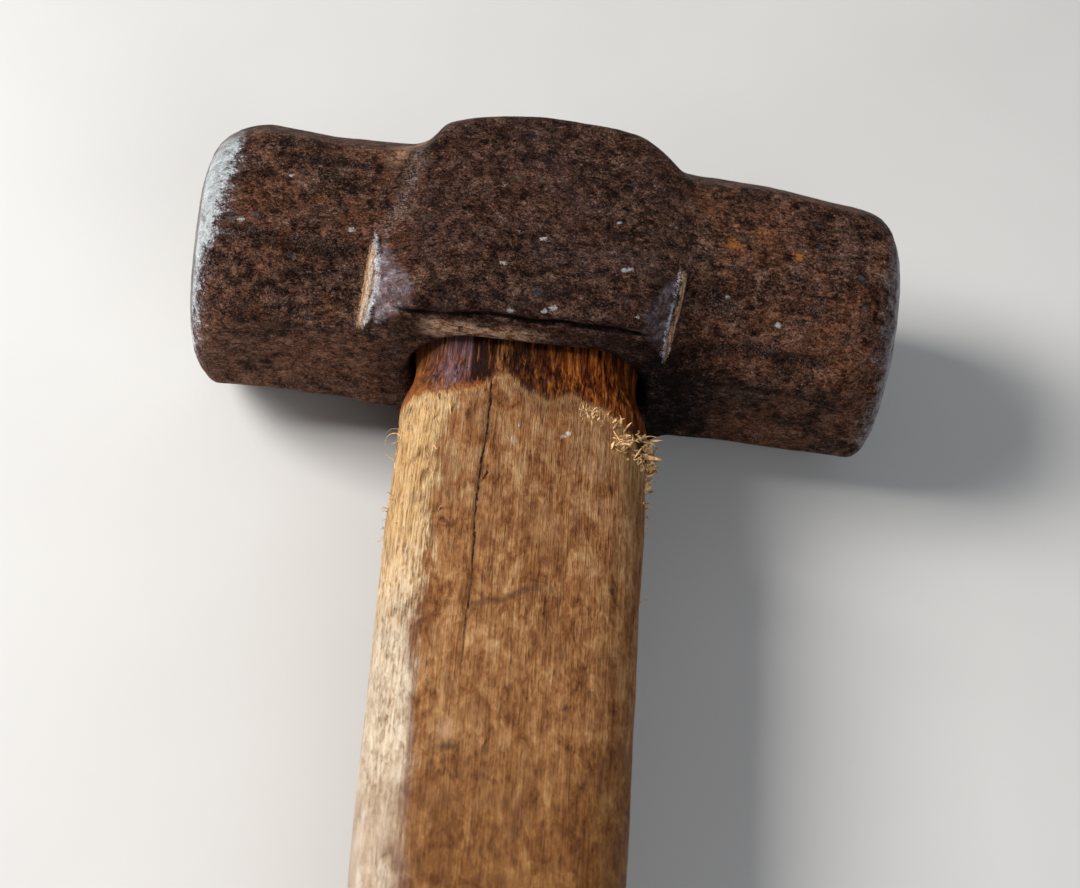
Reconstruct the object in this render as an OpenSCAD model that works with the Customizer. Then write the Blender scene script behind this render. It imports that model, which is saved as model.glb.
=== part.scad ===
// Club hammer with a forged double-faced head, an oval wooden handle,
// a wooden wedge in the saw kerf and two steel cross wedges.
// Millimetres. The hammer lies on one cheek of its head: z = 0 is the bench,
// X runs along the head, the handle runs towards -Y, and the origin is on the
// resting cheek, straight under the middle of the eye.

/* [Head] */
// Distance from the middle of the eye to the left striking face
face_left = 54.2; // [50:0.1:60]
// Distance from the middle of the eye to the right striking face
face_right = 57.8; // [52:0.1:62]
// Size across the flats of the two octagonal necks
neck_flats = 38; // [36:0.5:40]
// Size across the 45 degree chamfers of the necks
neck_chamfers = 40.2; // [39:0.2:42]
// Thickness over the two cheeks, beside the eye
cheek_thickness = 43; // [41:0.5:45]
// Height of the head at the eye, along the handle
eye_height = 39; // [38:0.5:41]
// Size across the nearly full corners of the eye block
block_diagonal = 55.2; // [52:0.2:57]
// Radius of the flat middle of each striking face
face_flat_r = 11; // [8:0.5:13]
// Length of the worn bevel behind each striking face
face_bevel = 5.4; // [3:0.2:7]

/* [Eye] */
// Length of the oval eye at its narrow waist
eye_waist_length = 35; // [33:0.5:36]
// Width of the oval eye at its narrow waist
eye_waist_width = 20.4; // [19:0.2:21]
// How much wider each mouth of the eye is than its waist, per side
eye_flare = 1.1; // [0.6:0.1:1.5]

/* [Handle] */
// Handle length from the sawn end in the eye to the butt
handle_length = 260; // [240:5:300]
// Width of the handle just below the head, along the head
shoulder_width = 39; // [38:0.5:41]
// Thickness of the handle just below the head
shoulder_thickness = 26; // [25:0.5:28]
// Width of the handle at the hand
grip_width = 36; // [34:0.5:38]
// Thickness of the handle at the hand
grip_thickness = 26; // [24:0.5:28]
// How far the sawn end stands proud of the head
end_proud = 1.6; // [0.5:0.1:3]
// Gap between the wood and the eye, and round each wedge
fit_gap = 0.06; // [0.03:0.01:0.12]

/* [Wedges] */
// Depth of the saw kerf from the sawn end
kerf_depth = 28; // [24:1:32]
// Length of the wooden wedge
wood_wedge_length = 25; // [20:1:27]
// Thickness of the wooden wedge at its driven end
wood_wedge_top = 5.2; // [4:0.2:6]
// Thickness of the wooden wedge at its thin end
wood_wedge_tip = 1.6; // [1.2:0.1:2]
// Width of each steel wedge
steel_wedge_width = 15; // [12:0.5:16]
// Length of each steel wedge
steel_wedge_length = 21; // [16:1:23]
// Thickness of each steel wedge at its driven end
steel_wedge_top = 3.2; // [2.4:0.2:4]
// Distance of each steel wedge from the middle of the eye
steel_wedge_offset = 8.6; // [7:0.2:10]

/* [Hidden] */
axis_z = cheek_thickness / 2;          // height of the head's and the handle's axis
top_y = eye_height / 2;                // top of the head, where the wedges show
end_y = top_y + end_proud;             // sawn end of the handle
butt_y = end_y - handle_length;        // butt of the handle
wood_tip_y = end_y - wood_wedge_length;
slot_overrun = 2;                      // how far wedge slots are cut past the wedge's driven end
steel = [0.23, 0.15, 0.12];
bright_steel = [0.42, 0.38, 0.36];
ash = [0.69, 0.47, 0.26];
old_wood = [0.50, 0.33, 0.19];

// Smooth step: 0 at foot, 1 at crest and level beyond both. Foot may be the larger.
function ramp(x, foot, crest) =
    let (u = min(1, max(0, (x - foot) / (crest - foot)))) u * u * (3 - 2 * u);
function lerp(a, b, t) = a + (b - a) * t;

// ---- head --------------------------------------------------------------
// Where each surface swells out of the necks, along X:
// [left foot, left crest, right crest, right foot]
cheek_swell = [-26, -14, 14, 26];
height_swell = [-28, -18, 18, 28];
corner_swell = [-23.5, -14, 12, 25];   // steep on the left, easier on the right
step_swell = [-27.4, -25.5, 21, 22.9];
facet_swell = [-27, -8, 10, 23];
step_share = 0.28;                     // part of the stepped corner's rise made by its step

end_margin = 1;                        // how far the long surfaces run past the faces
surface_span = 120;                    // wider than the head

// X of the head's cross sections
stations = [
    -face_left - end_margin, -44, -34, -27.4, -26.4, -25.5, -23.5, -21.5, -19.5, -17.5,
    -15, -12, -8, -3, 3, 8, 12, 15, 17.5, 19.5, 21, 22, 22.9, 25, 34, 45,
    face_right + end_margin];

// Rise of the eye block, 0 on the necks and 1 over the eye
function rise(x, swell) = ramp(x, swell[0], swell[1]) * ramp(x, swell[3], swell[2]);
function corner_rise(x) = rise(x, corner_swell) * (1 - 0.05 * pow(x / 20, 2));
// A short step and then a sloping triangular facet, as a die leaves it
function stepped_rise(x) = lerp(rise(x, facet_swell), rise(x, step_swell), step_share);

// The left neck widens a little towards its face and the right one narrows.
function neck_flare(x) = 0.25 * ramp(x, -34, -44) - 0.7 * ramp(x, 34, 58);

// Distance of a long surface from the head's axis
function surface_half(x, neck, block, rise) = lerp(neck / 2 + neck_flare(x), block / 2, rise);

// A pair of long surfaces facing angle and angle + 180 round the head's axis:
// out is the distance of the first from the axis at each station, and back of the second.
module surface_pair(angle, out, back) {
    last = len(stations) - 1;
    rotate([angle, 0, 0])
        linear_extrude(height = surface_span, center = true)
            polygon(concat([for (i = [0 : last]) [stations[i], out[i]]],
                           [for (i = [last : -1 : 0]) [stations[i], -back[i]]]));
}

// Face profiles from the centre out: [radius, distance behind the face]
envelope_r = 40;                       // well outside the head
left_profile = [
    [0, 0], [face_flat_r, 0], [face_flat_r + 2.6, 0.22], [face_flat_r + 5, 0.85],
    [17.6, face_bevel * 0.32], [18.9, face_bevel * 0.55], [19.9, face_bevel * 0.8],
    [20.8, face_bevel * 1.15], [envelope_r, face_bevel * 5.5]];
right_profile = [
    [0, 0], [face_flat_r, 0], [face_flat_r + 2.4, 0.2], [face_flat_r + 4.6, 0.8],
    [17.0, face_bevel * 0.29], [18.2, face_bevel * 0.5], [19.2, face_bevel * 0.75],
    [20.1, face_bevel * 1.05], [envelope_r, face_bevel * 5]];

// Round envelope of the head about its long axis: flat middle, low crown and
// worn bevel at each striking face.
module face_envelope() {
    right_last = len(right_profile) - 1;
    rotate([0, 90, 0])
        rotate_extrude($fn = 96)
            polygon(concat(
                [for (p = left_profile) [p[0], p[1] - face_left]],
                [for (i = [right_last : -1 : 0])
                    [right_profile[i][0], face_right - right_profile[i][1]]]));
}

// Double-tapered oval through the head along Y, narrowest at its middle and
// run on past both mouths. grow is added all round.
module eye(grow = 0) {
    reach = top_y + 3;
    waist_half = eye_waist_width / 2 + grow;
    far_half = waist_half + eye_flare * reach / top_y;
    centre_x = (eye_waist_length - eye_waist_width) / 2;
    for (turn = [-90, 90])
        rotate([turn, 0, 0]) {
            for (side = [-1, 1])
                translate([side * centre_x, 0, 0])
                    cylinder(h = reach, r1 = waist_half, r2 = far_half, $fn = 96);
            rotate([90, 0, 90])
                linear_extrude(height = 2 * centre_x, center = true)
                    polygon([[-waist_half, 0], [waist_half, 0],
                             [far_half, reach], [-far_half, reach]]);
        }
}

module head() {
    cheek = [for (x = stations)
        surface_half(x, neck_flats, cheek_thickness, rise(x, cheek_swell))];
    height = [for (x = stations)
        surface_half(x, neck_flats, eye_height, rise(x, height_swell))];
    corner = [for (x = stations)
        surface_half(x, neck_chamfers, block_diagonal, corner_rise(x))];
    stepped = [for (x = stations)
        surface_half(x, neck_chamfers, block_diagonal, stepped_rise(x))];
    color(steel)
    translate([0, 0, axis_z])
        difference() {
            intersection() {
                surface_pair(0, height, height);    // top and handle side
                surface_pair(90, cheek, cheek);     // the two cheeks
                surface_pair(45, corner, corner);   // two of the long corners
                // the stepped corner, on the handle side away from the bench,
                // and the plain one across from it
                surface_pair(135, stepped, corner);
                face_envelope();
            }
            eye();
        }
}

// ---- handle ------------------------------------------------------------
// Depth is measured from the handle side of the head towards the butt.
below_length = handle_length - eye_height - end_proud;
shoulder_depth = 14;                   // where the full shoulder thickness is reached
taper_depth = 60;                      // where the width starts to change to the grip's
swell_depth = below_length - 60;       // where the swell at the butt starts
swell_end = swell_depth + 48;
butt_swell = [1.4, 1.2];               // added to the half width and the half thickness
squareness = 3.1;                      // exponent of the grip's oval, 2 being an ellipse
end_chamfer = 0.5;                     // round the sawn end
ring_points = 56;

// Half sizes of the handle inside the eye
function tenon_w(y) = eye_waist_length / 2 + eye_flare * abs(y) / top_y - fit_gap;
function tenon_t(y) = eye_waist_width / 2 + eye_flare * abs(y) / top_y - fit_gap;

// Half width and half thickness of the handle below the head
function below_w(depth) =
    lerp(shoulder_width / 2, grip_width / 2, ramp(depth, taper_depth, swell_depth))
    + butt_swell[0] * ramp(depth, swell_depth, swell_end);
function below_t(depth) =
    let (shoulder = lerp(tenon_t(-top_y), shoulder_thickness / 2,
                         ramp(depth, -1, shoulder_depth)))
    lerp(shoulder, grip_thickness / 2, ramp(depth, shoulder_depth, swell_depth))
    + butt_swell[1] * ramp(depth, swell_depth, swell_end);

// Outlines with half width w and half thickness t, one point at each angle
angles = [for (k = [0 : ring_points - 1]) 360 * k / ring_points];

function squared_oval(w, t) = [for (a = angles)
    let (r = pow(pow(abs(cos(a)), squareness) + pow(abs(sin(a)), squareness), -1 / squareness))
    [w * r * cos(a), t * r * sin(a)]];

// Oval with straight sides and round ends, the section of the eye. The ray at
// each angle meets either a straight side or an end arc.
function stadium(w, t) = [for (a = angles)
    let (centre = w - t, c = abs(cos(a)), s = abs(sin(a)),
         r = t * c <= centre * s ? t / s
             : centre * c + sqrt(pow(centre * c, 2) - pow(centre, 2) + t * t))
    [r * cos(a), r * sin(a)]];

function ring(y, outline) = [for (p = outline) [p[0], y, p[1]]];

// The eye's outline changes to the grip's just below the head.
function below_outline(depth) =
    let (w = below_w(depth), t = below_t(depth))
    lerp(stadium(lerp(tenon_w(-top_y), w, ramp(depth, 0, 9)), t),
         squared_oval(w, t), ramp(depth, 0, 16));

// [y, inset] of the rings in the eye
tenon_stations = [
    [end_y, end_chamfer], [end_y - end_chamfer, 0], [top_y / 2, 0], [0, 0],
    [-top_y / 2, 0], [-top_y + 0.1, 0]];
// Depths of the rings below the head
below_stations = [
    1.6, 4, 8, 13, 20, 32, 46, 60, 74, 88, 102, 116, 130, 144, 156,
    below_length - 52, below_length - 44, below_length - 34,
    below_length - 24, below_length - 14, below_length - 6];
// [distance from the butt, inset] of the rings round its rounded edge
butt_stations = [[2.6, 0.5], [1.2, 1.2], [0.4, 2.3], [0, 3.8]];

rings = concat(
    [for (s = tenon_stations) ring(s[0], stadium(tenon_w(s[0]) - s[1], tenon_t(s[0]) - s[1]))],
    [for (depth = below_stations) ring(-top_y - depth, below_outline(depth))],
    [for (s = butt_stations)
        ring(butt_y + s[0],
             squared_oval(below_w(below_length) - s[1], below_t(below_length) - s[1]))]);

// Handle before the kerf and slots: a skin over the rings, from sawn end to butt
module handle_blank() {
    n = ring_points;
    last = len(rings) - 1;
    polyhedron(
        points = [for (r = rings, p = r) p],
        faces = concat(
            [[for (k = [0 : n - 1]) k]],
            [[for (k = [n - 1 : -1 : 0]) last * n + k]],
            [for (i = [0 : last - 1], k = [0 : n - 1])
                let (a = i * n + k, b = i * n + (k + 1) % n)
                each [[b, a, a + n], [b, a + n, b + n]]]),
        convexity = 6);
}

// Tapered bar along X, tip thick at y = deep and top thick at y = high
module wedge_prism(deep, high, tip, top, width) {
    rotate([90, 0, 90])
        linear_extrude(height = width, center = true)
            polygon([[deep, -tip / 2], [high, -top / 2], [high, top / 2], [deep, tip / 2]]);
}

// Saw kerf, spread by the wooden wedge down to its tip and narrow below
module kerf() {
    span = 60;                         // wider than the handle
    tip = wood_wedge_tip + 2 * fit_gap;
    taper = (wood_wedge_top - wood_wedge_tip) / wood_wedge_length;
    wedge_prism(wood_tip_y, end_y + slot_overrun, tip,
                wood_wedge_top + 2 * fit_gap + slot_overrun * taper, span);
    wedge_prism(end_y - kerf_depth, wood_tip_y + 0.01, wood_wedge_tip - 0.1, tip, span);
}

module handle() {
    color(ash)
    translate([0, 0, axis_z])
        difference() {
            handle_blank();
            kerf();
            steel_wedge_slots();
        }
}

// ---- wedges ------------------------------------------------------------
wood_sunk = 0.2;                       // driven end below the sawn end
wood_slack = 0.03;                     // taken off the driven end's thickness
steel_proud = 0.1;                     // driven end above the sawn end
steel_tip_half = 0.45;                 // half the thickness of the thin end
barb = 0.16;                           // how far each barb stands out
barb_pitches = 4;                      // equal lengths, with a barb between each two

module wooden_wedge() {
    color(old_wood)
    translate([0, 0, axis_z])
        difference() {
            intersection() {
                wedge_prism(wood_tip_y, end_y - wood_sunk, wood_wedge_tip,
                            wood_wedge_top - wood_slack, eye_waist_length - 0.5);
                eye(grow = -fit_gap);
            }
            steel_wedge_slots();
        }
}

// Tapered bar with three barbs on each side. For the slot it has cut, grow
// widens it and over runs it out past the driven end.
module steel_wedge_shape(grow = 0, over = 0) {
    tip = steel_tip_half + grow;
    top = steel_wedge_top / 2 + grow;
    barbed = [for (i = [0 : barb_pitches - 1], e = [0, 1])
        let (u = (i + e) / barb_pitches)
        [lerp(tip, top, u) + (e == 1 && i < barb_pitches - 1 ? barb : 0),
         u * steel_wedge_length]];
    right = concat(barbed, over > 0 ? [[top, steel_wedge_length + over]] : []);
    translate([0, end_y + steel_proud - steel_wedge_length, 0])
        linear_extrude(height = steel_wedge_width + 2 * grow, center = true)
            polygon(concat(grow > 0 ? [[-tip, -grow], [tip, -grow]] : [],
                           right,
                           [for (i = [len(right) - 1 : -1 : 0]) [-right[i][0], right[i][1]]]));
}

module steel_wedge_slots() {
    for (side = [-1, 1])
        translate([side * steel_wedge_offset, 0, 0])
            steel_wedge_shape(fit_gap, slot_overrun);
}

module steel_wedge(side) {
    color(bright_steel)
    translate([side * steel_wedge_offset, 0, axis_z]) steel_wedge_shape();
}

module steel_wedge_left() { steel_wedge(-1); }
module steel_wedge_right() { steel_wedge(1); }

head();
handle();
wooden_wedge();
steel_wedge_left();
steel_wedge_right();
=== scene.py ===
"""Looks of a club hammer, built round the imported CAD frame.

The head lies along X, with a striking face at each end. The handle passes through its eye
along Y: the sawn, wedged end points to +Y and the grip runs to -Y. +Z is up. Left is -X.
Shapes are worked out in millimetres about the head's axis, and the scene is in metres.
"""

import math

import bmesh
import bpy
import numpy as np
from mathutils import Matrix, Vector


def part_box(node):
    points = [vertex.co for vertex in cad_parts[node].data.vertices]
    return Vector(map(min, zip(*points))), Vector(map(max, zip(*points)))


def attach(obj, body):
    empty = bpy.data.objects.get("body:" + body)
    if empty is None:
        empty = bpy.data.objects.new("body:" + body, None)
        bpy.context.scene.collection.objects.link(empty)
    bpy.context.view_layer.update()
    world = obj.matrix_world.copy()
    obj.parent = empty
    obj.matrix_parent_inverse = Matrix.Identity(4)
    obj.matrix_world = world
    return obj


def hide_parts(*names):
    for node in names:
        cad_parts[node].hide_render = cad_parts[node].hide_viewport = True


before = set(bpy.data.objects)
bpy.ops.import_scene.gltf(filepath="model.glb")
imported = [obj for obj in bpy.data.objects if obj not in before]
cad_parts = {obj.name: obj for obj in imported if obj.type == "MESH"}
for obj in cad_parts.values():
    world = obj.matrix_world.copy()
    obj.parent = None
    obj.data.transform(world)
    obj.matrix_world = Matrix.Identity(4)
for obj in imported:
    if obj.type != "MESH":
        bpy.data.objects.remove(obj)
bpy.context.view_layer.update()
MM = 0.001


def box_mm(node):
    low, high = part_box(node)
    return np.array(low) / MM, np.array(high) / MM


HEAD_LO, HEAD_HI = box_mm("head")
GRIP_LO, GRIP_HI = box_mm("handle")
AXIS_Z = (HEAD_LO[2] + HEAD_HI[2]) / 2  # height of the head's and handle's axis
LEFT, RIGHT = HEAD_LO[0], HEAD_HI[0]  # striking faces
CHEEK = (HEAD_HI[2] - HEAD_LO[2]) / 2
EYE_Y = (HEAD_HI[1] - HEAD_LO[1]) / 2  # half the eye's length
UNDER = -EYE_Y  # side of the head where the grip starts
END_Y = GRIP_HI[1]  # sawn end of the handle
BUTT_Y = GRIP_LO[1]

# oval eye: half length and half width at its middle, and growth towards each mouth
EYE_LONG, EYE_WIDE, EYE_FLARE = 17.5, 10.2, 1.1

# ---------------------------------------------------------------- noise and soft steps


def random_at(i, j, k, seed):
    """Random value from 0 to 1 for each whole-numbered point."""
    i, j, k = (a.astype(np.int64).astype(np.uint32) for a in (i, j, k))
    with np.errstate(over="ignore"):
        mixed = i * np.uint32(374761393) + j * np.uint32(668265263)
        mixed = mixed + k * np.uint32(3266489917) + np.uint32((seed * 2654435761) & 0xFFFFFFFF)
        mixed = (mixed ^ (mixed >> np.uint32(13))) * np.uint32(1274126177)
        mixed = (mixed ^ (mixed >> np.uint32(16))) * np.uint32(2246822519)
        mixed = mixed ^ (mixed >> np.uint32(15))
    return mixed.astype(np.float64) / 4294967295.0


def value_noise(pts, seed):
    """Smooth value noise, -1 to 1, one cell per unit."""
    cell = np.floor(pts)
    part = pts - cell
    part = part * part * part * (part * (part * 6 - 15) + 10)
    out = np.zeros(len(pts))
    for a in (0, 1):
        wx = part[:, 0] if a else 1 - part[:, 0]
        for b in (0, 1):
            wy = part[:, 1] if b else 1 - part[:, 1]
            for c in (0, 1):
                wz = part[:, 2] if c else 1 - part[:, 2]
                corner = random_at(cell[:, 0] + a, cell[:, 1] + b, cell[:, 2] + c, seed)
                out += wx * wy * wz * corner
    return out * 2 - 1


def noise(pts, size, seed, layers=3, gain=0.5):
    """Layered noise whose largest feature is size mm (a number or one per axis)."""
    scaled = pts / np.asarray(size, float)
    out, weight, total = np.zeros(len(pts)), 1.0, 0.0
    for i in range(layers):
        out += weight * value_noise(scaled * 2.03**i + 17.3 * i + 5.1, seed + 31 * i)
        total += weight
        weight *= gain
    return out / total


def dents(pts, size, seed, reach, above=-1):
    """Scattered dents, one per cell of size mm, kept where their random value is above a limit.

    reach holds the distances from a dent's middle, in cells, where it ends and is full.
    """
    scaled = pts / np.asarray(size, float)
    cell = np.floor(scaled)
    nearest = np.full(len(pts), 9.0)
    value = np.zeros(len(pts))
    for a in (-1, 0, 1):
        for b in (-1, 0, 1):
            for c in (-1, 0, 1):
                i, j, k = cell[:, 0] + a, cell[:, 1] + b, cell[:, 2] + c
                dx = i + random_at(i, j, k, seed) - scaled[:, 0]
                dy = j + random_at(i, j, k, seed + 1) - scaled[:, 1]
                dz = k + random_at(i, j, k, seed + 2) - scaled[:, 2]
                distance = np.sqrt(dx * dx + dy * dy + dz * dz)
                near = distance < nearest
                nearest = np.where(near, distance, nearest)
                value = np.where(near, random_at(i, j, k, seed + 3), value)
    return smooth(*reach, nearest) * (value > above)


def smooth(zero, one, x):
    """Soft step: 0 where x is at zero and 1 where it is at one."""
    t = np.clip((x - zero) / (one - zero), 0, 1)
    return t * t * (3 - 2 * t)


def window(x, first, last):
    """Two soft steps multiplied; each edge is given from its 0 end to its 1 end."""
    return smooth(*first, x) * smooth(*last, x)


def bell(x, centre, width):
    return np.exp(-(((x - centre) / width) ** 2))


def spots(x, y, *table):
    """Sum of soft spots, each (centre x, centre y, width x, width y, strength)."""
    return sum(strength * np.exp(-(((x - cx) / wx) ** 2 + ((y - cy) / wy) ** 2))
               for cx, cy, wx, wy, strength in table)


def soft_max(a, b, width):
    near = np.maximum(width - np.abs(a - b), 0) / width
    return np.maximum(a, b) + near * near * width * 0.25


# ---------------------------------------------------------------- mesh helpers


def mesh_object(name, points, faces, smooth_shade=True):
    """Object from points in mm about the head's axis, and faces."""
    points = np.array(points, float)
    points[:, 2] += AXIS_Z
    points *= MM
    mesh = bpy.data.meshes.new(name)
    mesh.from_pydata([tuple(p) for p in points], [], [tuple(f) for f in faces])
    mesh.validate()
    mesh.polygons.foreach_set("use_smooth", [smooth_shade] * len(mesh.polygons))
    mesh.update()
    return place(name, mesh)


def place(name, data):
    ob = bpy.data.objects.new(name, data)
    bpy.context.scene.collection.objects.link(ob)
    return ob


def get_mm(mesh):
    points = np.zeros(len(mesh.vertices) * 3)
    mesh.vertices.foreach_get("co", points)
    points = points.reshape(-1, 3) / MM
    points[:, 2] -= AXIS_Z
    return points


def set_mm(mesh, points):
    """Moves the vertices and shades every face smooth."""
    points = np.array(points, float)
    points[:, 2] += AXIS_Z
    mesh.vertices.foreach_set("co", (points * MM).astype(np.float32).ravel())
    mesh.update()
    mesh.polygons.foreach_set("use_smooth", [True] * len(mesh.polygons))


def normals_of(mesh):
    normals = np.zeros(len(mesh.vertices) * 3, np.float32)
    mesh.vertices.foreach_get("normal", normals)
    return normals.reshape(-1, 3).astype(float)


def edges_of(mesh):
    edges = np.zeros(len(mesh.edges) * 2, np.int64)
    mesh.edges.foreach_get("vertices", edges)
    return edges.reshape(-1, 2)


def neighbour_mean(points, edges):
    out = np.zeros_like(points)
    np.add.at(out, edges[:, 0], points[edges[:, 1]])
    np.add.at(out, edges[:, 1], points[edges[:, 0]])
    count = np.bincount(edges.ravel(), minlength=len(points)).astype(float)
    count[count == 0] = 1
    return out / count[:, None]


def put_attributes(mesh, marks):
    """Stores strengths from 0 to 1, or signed distances (_d) and half widths (_w) in mm."""
    for name, values in marks.items():
        if name[-2:] not in ("_d", "_w"):
            values = np.clip(values, 0, 1)
        stored = mesh.attributes.new(name, "FLOAT", "POINT")
        stored.data.foreach_set("value", np.asarray(values).astype(np.float32))


def apply_modifiers(ob):
    graph = bpy.context.evaluated_depsgraph_get()
    mesh = bpy.data.meshes.new_from_object(ob.evaluated_get(graph), depsgraph=graph)
    old = ob.data
    ob.modifiers.clear()
    ob.data = mesh
    bpy.data.meshes.remove(old)


def even_quads(ob, voxel):
    mod = ob.modifiers.new("even", "REMESH")
    mod.mode = "VOXEL"
    mod.voxel_size = voxel * MM
    mod.adaptivity = 0
    apply_modifiers(ob)


def loft(rings):
    """Points and faces of a skin over rings of equal length, closed at both ends."""
    count, around = len(rings), len(rings[0])
    points = np.concatenate([np.asarray(r, float) for r in rings])
    i = np.arange(count - 1)[:, None] * around
    k = np.arange(around)[None, :]
    a = (i + k).ravel()
    b = (i + (k + 1) % around).ravel()
    faces = np.stack([a, b, b + around, a + around], 1).tolist()
    faces.append(list(range(around - 1, -1, -1)))
    faces.append(list(range((count - 1) * around, count * around)))
    return points, faces


def subtract(ob, cutters):
    for cutter in cutters:
        mod = ob.modifiers.new("cut", "BOOLEAN")
        mod.operation = "DIFFERENCE"
        mod.solver = "EXACT"
        mod.object = cutter
    apply_modifiers(ob)
    for cutter in cutters:
        mesh = cutter.data
        bpy.data.objects.remove(cutter)
        bpy.data.meshes.remove(mesh)


def fix_normals(ob):
    bm = bmesh.new()
    bm.from_mesh(ob.data)
    bmesh.ops.remove_doubles(bm, verts=bm.verts, dist=1e-7)
    bmesh.ops.recalc_face_normals(bm, faces=bm.faces)
    bm.to_mesh(ob.data)
    bm.free()
    ob.data.update()


# ---------------------------------------------------------------- head shape

NECK = 19.0
TABLE_STEP = 0.05
TABLE_X = np.arange(-62.0, 66.0, TABLE_STEP)
CORNER_POWER = 46  # higher is sharper where two long surfaces meet


def profile(points, blur):
    """Distance of one long surface from the axis, along the head, from (x, distance) points."""
    xs, distances = zip(*points)
    line = np.interp(TABLE_X, xs, distances)
    reach = int(3 * blur / TABLE_STEP)
    kernel = np.exp(-0.5 * (np.arange(-reach, reach + 1) * TABLE_STEP / blur) ** 2)
    return np.convolve(np.pad(line, reach, mode="edge"), kernel / kernel.sum(), mode="valid")


def with_ends(points):
    """Adds the necks' flare at the left and taper at the right."""
    left = [(x, NECK + rise) for x, rise in ((-62, 0.35), (-48, 0.25), (-38, 0.0))]
    right = [(x, NECK + rise) for x, rise in ((34, 0.0), (46, -0.35), (66, -0.95))]
    return left + points + right


CHEEK_SIDE = profile(with_ends([
    (-27, NECK), (-24, 19.25), (-17.5, 21.25), (-14.5, CHEEK), (14.5, CHEEK), (17.5, 21.3),
    (24, 19.2), (27, NECK)]), 0.9)
# the eight long surfaces, by the angle their normal makes with +Y, turning towards +Z
SIDES = {
    0: profile(with_ends([(-27, NECK), (-19, EYE_Y), (19, EYE_Y), (27, NECK)]), 1.2),
    45: profile([
        (-62, 21.3), (-46, 21.1), (-36, 20.4), (-28, 20.4), (-21.4, 20.7), (-19.4, 21.6),
        (-18.4, 22.9), (-17.3, 24.6), (-15.8, 25.4), (-12.7, 26.5), (-8.7, 27.3), (-3, 27.95),
        (0.9, 28.1), (7.4, 27.8), (10.7, 27.5), (14, 26.9), (16.6, 25.7), (19.3, 23.9),
        (22.1, 21.5), (24.6, 21.2), (37, 20.9), (44.5, 19.9), (49.5, 19.3), (66, 18.6)], 0.55),
    90: CHEEK_SIDE,
    135: profile([
        (-62, 20.4), (-48, 20.3), (-38, 20.1), (-27.3, 20.1), (-26.1, 21.7), (-25.6, 21.9),
        (-19.2, 27.0), (-16, 27.35), (13.5, 27.3), (15.9, 26.9), (20.6, 21.9), (21.2, 21.6),
        (22.3, 20.1), (34, 20.1), (46, 19.7), (66, 19.1)], 0.22),
    180: profile([
        (-62, 19.3), (-48, 19.2), (-38, NECK), (-27, NECK), (-20, 19.3), (20, 19.3), (27, NECK),
        (34, 19.05), (46, 19.1), (66, 19.2)], 1.2),
    225: profile([
        (-62, 20.4), (-38, 20.1), (-21.5, 20.1), (-17, 23.6), (-13, 26.4), (-10, 27.0),
        (12, 27.0), (17, 25.2), (24, 20.3), (34, 20.4), (46, 20.8), (66, 21.0)], 0.8),
    270: CHEEK_SIDE,
    315: profile([
        (-62, 20.4), (-38, 20.0), (-24, 20.0), (-17.5, 25.0), (-12, 27.2), (12, 27.2),
        (17, 25.0), (25, 20.1), (34, 20.0), (66, 18.6)], 0.8),
}
# worn striking faces: radii, and how far the surface falls back from the face there
FACE_L = ([0, 10.5, 13.6, 16.0, 17.6, 18.9, 19.9, 20.8, 22.5],
          [0, 0.02, 0.25, 0.95, 1.9, 3.1, 4.6, 6.6, 11.0])
FACE_R = ([0, 10.5, 13.4, 15.6, 17.0, 18.2, 19.2, 20.1, 22.0],
          [0, 0.02, 0.22, 0.8, 1.55, 2.7, 4.1, 5.9, 10.0])


def columns(pts):
    return pts[:, 0], pts[:, 1], pts[:, 2]


def angle_about_x(y, z):
    """Degrees from +Y, turning towards +Z."""
    return np.degrees(np.arctan2(z, y)) % 360


def side_distance(pts):
    """Signed distance, near enough, to the eight long surfaces with softly rounded corners."""
    x, y, z = columns(pts)
    total = np.zeros(len(pts))
    for angle, table in SIDES.items():
        a = math.radians(angle)
        reach = np.interp(x, TABLE_X, table)
        total += np.maximum((y * math.cos(a) + z * math.sin(a)) / reach, 0) ** CORNER_POWER
    ratio = np.maximum(total, 1e-12) ** (1 / CORNER_POWER)
    return np.hypot(y, z) * (1 - 1 / np.maximum(ratio, 1e-3))


def eye_size(y):
    """Half length and half width of the eye at y."""
    flare = EYE_FLARE * np.abs(y) / EYE_Y
    return EYE_LONG + flare, EYE_WIDE + flare


def eye_distance(pts):
    """Signed distance to the oval eye, negative inside the hole."""
    x, y, z = columns(pts)
    length, width = eye_size(y)
    return np.hypot(np.maximum(np.abs(x) - (length - width), 0), z) - width


def head_distance(pts):
    x, y, z = columns(pts)
    radius = np.hypot(y, z)
    distance = side_distance(pts)
    # both rims are less worn towards -Y and -Z
    low = np.clip(-(y + z) / (1.4142 * np.maximum(radius, 1)), 0, 1)
    low = low**3
    left = (LEFT + 0.55 * low + np.interp(radius - 1.5 * low, *FACE_L)) - x
    near = np.clip(-y / np.maximum(radius, 1), 0, 1)
    right = x - (RIGHT - np.interp(radius - 3.5 * low + 0.95 * near * (1 - low), *FACE_R))
    distance = soft_max(distance, left * 0.93, 1.5 - 1.0 * low)
    distance = soft_max(distance, right * 0.93, 1.5 - 0.7 * low)
    # the mouth of the eye is worn round, more on the grip's side
    mouth = np.where(y < 0, 2.6, 1.4)
    wobble = 0.35 * noise(pts, 6.0, layers=2, seed=5) * smooth(12, 18, -y)
    return soft_max(distance, -(eye_distance(pts) - np.maximum(wobble, 0)), mouth)


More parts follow.
